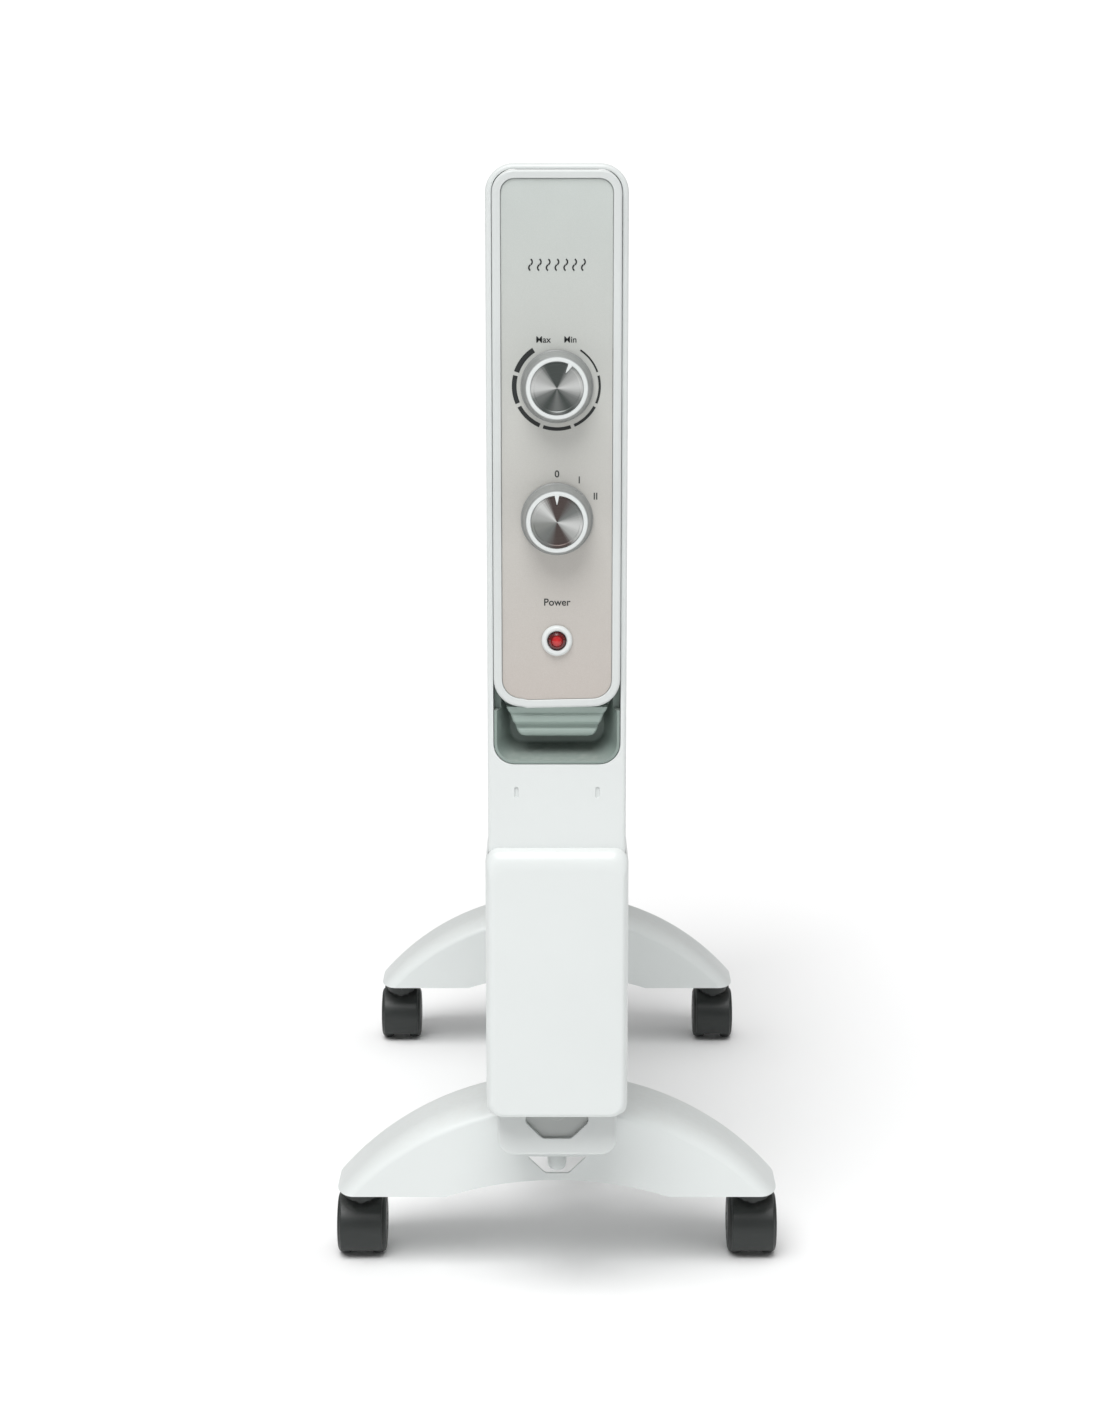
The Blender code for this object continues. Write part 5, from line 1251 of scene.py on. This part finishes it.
def build_finishes(colours, sizes):
    """Every material of the heater."""
    shell, shade = tuple(colours.shell), tuple(colours.shell_shade)
    plastic("white_moulding", shell, shade, 0.34, 1100.0, 0.06, 0.5, 0.25, 0.10)
    plastic("foot_moulding", tuple(v * 0.985 for v in shell), shade, 0.38, 950.0, 0.08, 0.5, 0.35, 0.18)
    for name, node in (("thermostat_", "thermostat_knob"), ("selector_", "selector_knob"), ("pilot_", None)):
        web, shader = plastic(
            name + "knob_moulding", shell, tuple(v * 0.97 for v in shell), 0.3, 1300.0, 0.04, 0.3, 0.0, 0.08,
        )
        if node:
            skirt_painted_shade(web, shader, middle_of(node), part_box(node)[1].x - sizes.knob_taper)
    enamel = tuple(colours.enamel)
    plastic("white_enamel_coat", enamel, tuple(v * 0.97 for v in enamel), 0.26, 260.0, 0.10, 0.8, 0.2, 0.02,
            {"Coat Weight": 0.3, "Coat Roughness": 0.08})
    grey = tuple(colours.recess)
    plastic("grey_moulding", grey, tuple(v * 0.85 for v in grey), 0.5, 800.0, 0.12, 0.4, 0.3, 0.12)
    # painted light: the grip is a lighter copy of the recess grey, for the light on its outward face
    grip = tuple(v * 1.25 for v in grey)
    plastic("grip_moulding", grip, tuple(v * 0.92 for v in grip), 0.42, 800.0, 0.10, 0.4, 0.2, 0.15)
    # painted shade: the cheeks are darker copies of the recess grey, for the shade in the recess's corners
    plastic("cheek_moulding", tuple(v * 0.8 for v in grey), tuple(v * 0.7 for v in grey), 0.45, 800.0, 0.10, 0.4, 0.2,
            0.1)
    # painted shade: the gland's grey stands for the shade in the outlet recess
    plastic("gland_moulding", (0.50, 0.52, 0.51), (0.44, 0.46, 0.45), 0.5, 800.0, 0.12, 0.4, 0.2, 0.12)
    # painted shade: the frame is a darker copy of the white moulding, for the grey shade on its border
    plastic("frame_moulding", tuple(v * 0.93 for v in shell), tuple(v * 0.9 for v in shade), 0.32, 1100.0, 0.05, 0.4,
            0.2, 0.08)
    black = tuple(colours.castor)
    plastic("castor_moulding", black, tuple(v * 0.6 for v in black), 0.38, 700.0, 0.16, 0.4, 0.12, 0.25,
            mark_tone=(0.12, 0.12, 0.12))
    plastic("wheel_moulding", tuple(v * 0.8 for v in black), tuple(v * 0.5 for v in black), 0.46, 600.0, 0.2, 0.5,
            0.10, 0.5, mark_tone=(0.16, 0.155, 0.15))
    ink = tuple(colours.ink)
    plastic("printed_ink", ink, tuple(v * 1.5 for v in ink), 0.55, 3000.0, 0.1, 0.3, 0.0, 0.0)
    plastic("brown_moulding", (0.16, 0.085, 0.045), (0.10, 0.05, 0.03), 0.5, 700.0, 0.2, 0.5, 0.3, 0.2,
            mark_tone=(0.25, 0.17, 0.12))
    low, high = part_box("fascia_plate")
    silver_with_painted_reflection(colours, low.z, high.z)
    # Tones of the painted reflection on the spun caps.
    dark, mid, light, bright = (0.042, 0.052, 0.048), (0.16, 0.17, 0.165), (0.42, 0.43, 0.42), (0.66, 0.67, 0.66)
    # The share runs clockwise from the bottom: a quarter is the left side, a half the top.
    spun_painted_reflection("thermostat_spun_cap", middle_of("thermostat_knob_cap"), (
        (0.0, mid), (0.08, dark), (0.17, mid), (0.25, bright), (0.36, light), (0.43, dark), (0.55, dark),
        (0.64, light), (0.73, bright), (0.84, mid), (0.91, dark), (1.0, mid),
    ))
    brown, green = (0.052, 0.032, 0.028), (0.24, 0.25, 0.235)
    spun_painted_reflection("selector_spun_cap", middle_of("selector_knob_cap"), (
        (0.0, brown), (0.1, mid), (0.22, green), (0.3, light), (0.38, bright), (0.46, brown), (0.55, brown),
        (0.66, mid), (0.78, bright), (0.86, light), (0.93, brown), (1.0, brown),
    ))
    jewel_finish(colours, middle_of("pilot_lens"))
    steel_finish()
    lamp_finish()


def make_inner_parts():
    """The CAD nodes that keep their own shape get their finishes."""
    finishes = {"steel": "zinc_steel", "brown_insulator": "brown_moulding", "lamp_glass": "neon_glass",
                "white_shell": "white_moulding", "white_enamel": "white_enamel_coat", "grey_recess": "grey_moulding",
                "silver_fascia": "silver_lacquer", "spun_metal": "zinc_steel", "red_lens": "red_jewel",
                "black_plastic": "castor_moulding"}
    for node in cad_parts.values():
        for slot in node.material_slots:
            plain = slot.material.name.split(".")[0]
            if plain not in finishes:
                raise RuntimeError(f"no finish for the material {plain} of {node.name}")
            slot.material = bpy.data.materials[finishes[plain]]


# ---------------------------------------------------------------- stage
def build_stage(colours):
    """Pale floor, soft studio light and the camera."""
    alone()
    bpy.ops.mesh.primitive_plane_add(size=60, location=(0, 20, 0))
    floor = new_piece("studio_floor")
    web, shader = new_finish("studio_paper", {"Specular IOR Level": 0.2})
    paper = tuple(colours.floor)
    tone = use_group(web, "mottled_tone", Place=web.place(), First=(*paper, 1),
                     Second=(*(v * 0.99 for v in paper), 1), Scale=1.5, Contrast=0.5)
    web.put(shader.inputs["Base Color"], tone["Tone"])
    web.put(shader.inputs["Roughness"], web.remap(tone["Mask"], 0.0, 1.0, 0.7, 0.8))
    floor.data.materials.append(bpy.data.materials["studio_paper"])
    scene = bpy.context.scene
    world = bpy.data.worlds.new("studio")
    scene.world = world
    world.use_nodes = True
    sky = Web(world.node_tree)
    back = world.node_tree.nodes["Background"]
    back.inputs["Color"].default_value = (1, 1, 1, 1)
    seen = sky.add("ShaderNodeLightPath").outputs["Is Camera Ray"]
    upward = sky.add("ShaderNodeSeparateXYZ", None, Vector=sky.add("ShaderNodeTexCoord").outputs["Generated"])
    glow = sky.remap(upward.outputs["Z"], 0.0, 0.8, 0.16, 0.58)
    lift = sky.math("MULTIPLY", seen, sky.math("SUBTRACT", 1.1, glow))
    sky.put(back.inputs["Strength"], sky.math("ADD", glow, lift))
    alone()
    bpy.ops.object.light_add(type="SUN", location=(0, -1, 3), rotation=(math.radians(32), math.radians(-8), 0))
    sun = bpy.context.active_object
    sun.name = "overhead_sun"
    sun.data.angle = math.radians(38)
    sun.data.energy = 2.5
    scene.view_settings.view_transform = "Standard"
    scene.view_settings.look = "None"
    reach, height, tilt = 1.4124, 0.6281, 11.124
    bpy.ops.object.camera_add(
        location=(0, FACE_Y - reach, height), rotation=(math.radians(90 - tilt), 0, 0),
    )
    camera = bpy.context.active_object
    camera.data.sensor_width = 36
    camera.data.lens = 67.54
    camera.data.shift_x = -0.0049
    scene.camera = camera


# ---------------------------------------------------------------- add-on
class HEATER_OT_finishes(bpy.types.Operator):
    """Build the shader groups and every finish of the heater"""

    bl_idname = "heater.finishes"
    bl_label = "Finishes"

    def execute(self, context):
        build_groups()
        build_finishes(context.scene.heater_colours, context.scene.heater_sizes)
        return {"FINISHED"}


class HEATER_OT_inner_parts(bpy.types.Operator):
    """Give the frame's own parts, such as stems, axles and switches, their finishes"""

    bl_idname = "heater.inner_parts"
    bl_label = "Inner Parts"

    def execute(self, context):
        make_inner_parts()
        return {"FINISHED"}


class HEATER_OT_housing(bpy.types.Operator):
    """Model the upper shell with its opening and slots"""

    bl_idname = "heater.housing"
    bl_label = "Housing"

    def execute(self, context):
        make_housing(context.scene.heater_sizes)
        return {"FINISHED"}


class HEATER_OT_lower_housing(bpy.types.Operator):
    """Model the narrow box under the upper shell"""

    bl_idname = "heater.lower_housing"
    bl_label = "Lower Housing"

    def execute(self, context):
        make_lower_housing(context.scene.heater_sizes)
        return {"FINISHED"}


class HEATER_OT_cord_gland(bpy.types.Operator):
    """Model the block, painted grey as shade, and the sleeve that the lead leaves by"""

    bl_idname = "heater.cord_gland"
    bl_label = "Cord Gland"

    def execute(self, context):
        make_gland()
        return {"FINISHED"}


class HEATER_OT_cord_cover(bpy.types.Operator):
    """Model the rounded cover of the cord compartment"""

    bl_idname = "heater.cord_cover"
    bl_label = "Cord Cover"

    def execute(self, context):
        make_cord_cover(context.scene.heater_sizes)
        return {"FINISHED"}


class HEATER_OT_handle_tray(bpy.types.Operator):
    """Model the grey tray behind the grip"""

    bl_idname = "heater.handle_tray"
    bl_label = "Handle Tray"

    def execute(self, context):
        make_tray()
        return {"FINISHED"}


class HEATER_OT_panel_frame(bpy.types.Operator):
    """Model the white frame around the fascia"""

    bl_idname = "heater.panel_frame"
    bl_label = "Panel Frame"

    def execute(self, context):
        make_panel_frame(context.scene.heater_sizes)
        return {"FINISHED"}


class HEATER_OT_panel_grip(bpy.types.Operator):
    """Model the ribbed grip under the panel"""

    bl_idname = "heater.panel_grip"
    bl_label = "Panel Grip"

    def execute(self, context):
        make_grip()
        return {"FINISHED"}


class HEATER_OT_fascia(bpy.types.Operator):
    """Model the silver plate that carries the controls"""

    bl_idname = "heater.fascia"
    bl_label = "Fascia"

    def execute(self, context):
        make_fascia(context.scene.heater_sizes)
        return {"FINISHED"}


class HEATER_OT_printed_marks(bpy.types.Operator):
    """Model the dial arcs, numbers and plain words on the fascia"""

    bl_idname = "heater.printed_marks"
    bl_label = "Printed Marks"

    def execute(self, context):
        make_prints(context.scene.heater_sizes)
        return {"FINISHED"}


class HEATER_OT_knobs(bpy.types.Operator):
    """Model both knobs with their caps and pointers"""

    bl_idname = "heater.knobs"
    bl_label = "Knobs"

    def execute(self, context):
        make_knob(context.scene.heater_sizes, "thermostat", math.radians(30))
        make_knob(context.scene.heater_sizes, "selector", 0.0)
        return {"FINISHED"}


class HEATER_OT_pilot_light(bpy.types.Operator):
    """Model the white ring and red lens of the pilot light"""

    bl_idname = "heater.pilot_light"
    bl_label = "Pilot Light"

    def execute(self, context):
        make_pilot()
        return {"FINISHED"}


class HEATER_OT_fins(bpy.types.Operator):
    """Model one pressed steel fin and copy it along the heater"""

    bl_idname = "heater.fins"
    bl_label = "Fins"

    def execute(self, context):
        make_fins(context.scene.heater_sizes)
        return {"FINISHED"}


class HEATER_OT_filler_plug(bpy.types.Operator):
    """Model the hexagonal plug at the back"""

    bl_idname = "heater.filler_plug"
    bl_label = "Filler Plug"

    def execute(self, context):
        make_plug()
        return {"FINISHED"}


class HEATER_OT_feet(bpy.types.Operator):
    """Model the two hollow arched feet"""

    bl_idname = "heater.feet"
    bl_label = "Feet"

    def execute(self, context):
        make_feet(context.scene.heater_sizes)
        return {"FINISHED"}


class HEATER_OT_foot_nuts(bpy.types.Operator):
    """Model the white nuts under the collectors"""

    bl_idname = "heater.foot_nuts"
    bl_label = "Foot Nuts"

    def execute(self, context):
        make_nuts()
        return {"FINISHED"}


class HEATER_OT_castors(bpy.types.Operator):
    """Model the castor hoods and their wheels"""

    bl_idname = "heater.castors"
    bl_label = "Castors"

    def execute(self, context):
        make_castors(context.scene.heater_sizes)
        return {"FINISHED"}


class HEATER_OT_stage(bpy.types.Operator):
    """Set the floor, the studio light and the camera"""

    bl_idname = "heater.stage"
    bl_label = "Stage"

    def execute(self, context):
        build_stage(context.scene.heater_colours)
        return {"FINISHED"}


OPERATORS = (
    HEATER_OT_finishes,
    HEATER_OT_inner_parts,
    HEATER_OT_housing,
    HEATER_OT_lower_housing,
    HEATER_OT_cord_gland,
    HEATER_OT_cord_cover,
    HEATER_OT_handle_tray,
    HEATER_OT_panel_frame,
    HEATER_OT_panel_grip,
    HEATER_OT_fascia,
    HEATER_OT_printed_marks,
    HEATER_OT_knobs,
    HEATER_OT_pilot_light,
    HEATER_OT_fins,
    HEATER_OT_filler_plug,
    HEATER_OT_feet,
    HEATER_OT_foot_nuts,
    HEATER_OT_castors,
    HEATER_OT_stage,
)


class HEATER_PT_sidebar(bpy.types.Panel):
    """Lists the heater's sizes, colours and pieces"""

    bl_idname = "HEATER_PT_sidebar"
    bl_label = "Oil Filled Radiator"
    bl_space_type = "VIEW_3D"
    bl_region_type = "UI"
    bl_category = "Heater"

    def draw(self, context):
        layout = self.layout
        for label, group in (("Sizes", context.scene.heater_sizes), ("Colours", context.scene.heater_colours)):
            box = layout.box()
            box.label(text=label)
            for name in group.__annotations__:
                box.prop(group, name)
        for kind in OPERATORS:
            layout.operator(kind.bl_idname)


CLASSES = (HeaterSizes, HeaterColours, *OPERATORS, HEATER_PT_sidebar)


def register():
    for kind in CLASSES:
        bpy.utils.register_class(kind)
    bpy.types.Scene.heater_sizes = bpy.props.PointerProperty(type=HeaterSizes)
    bpy.types.Scene.heater_colours = bpy.props.PointerProperty(type=HeaterColours)


def unregister():
    del bpy.types.Scene.heater_colours
    del bpy.types.Scene.heater_sizes
    for kind in reversed(CLASSES):
        bpy.utils.unregister_class(kind)


def main():
    register()
    for kind in OPERATORS:
        group, name = kind.bl_idname.split(".")
        getattr(getattr(bpy.ops, group), name)()


if __name__ == "__main__":
    main()
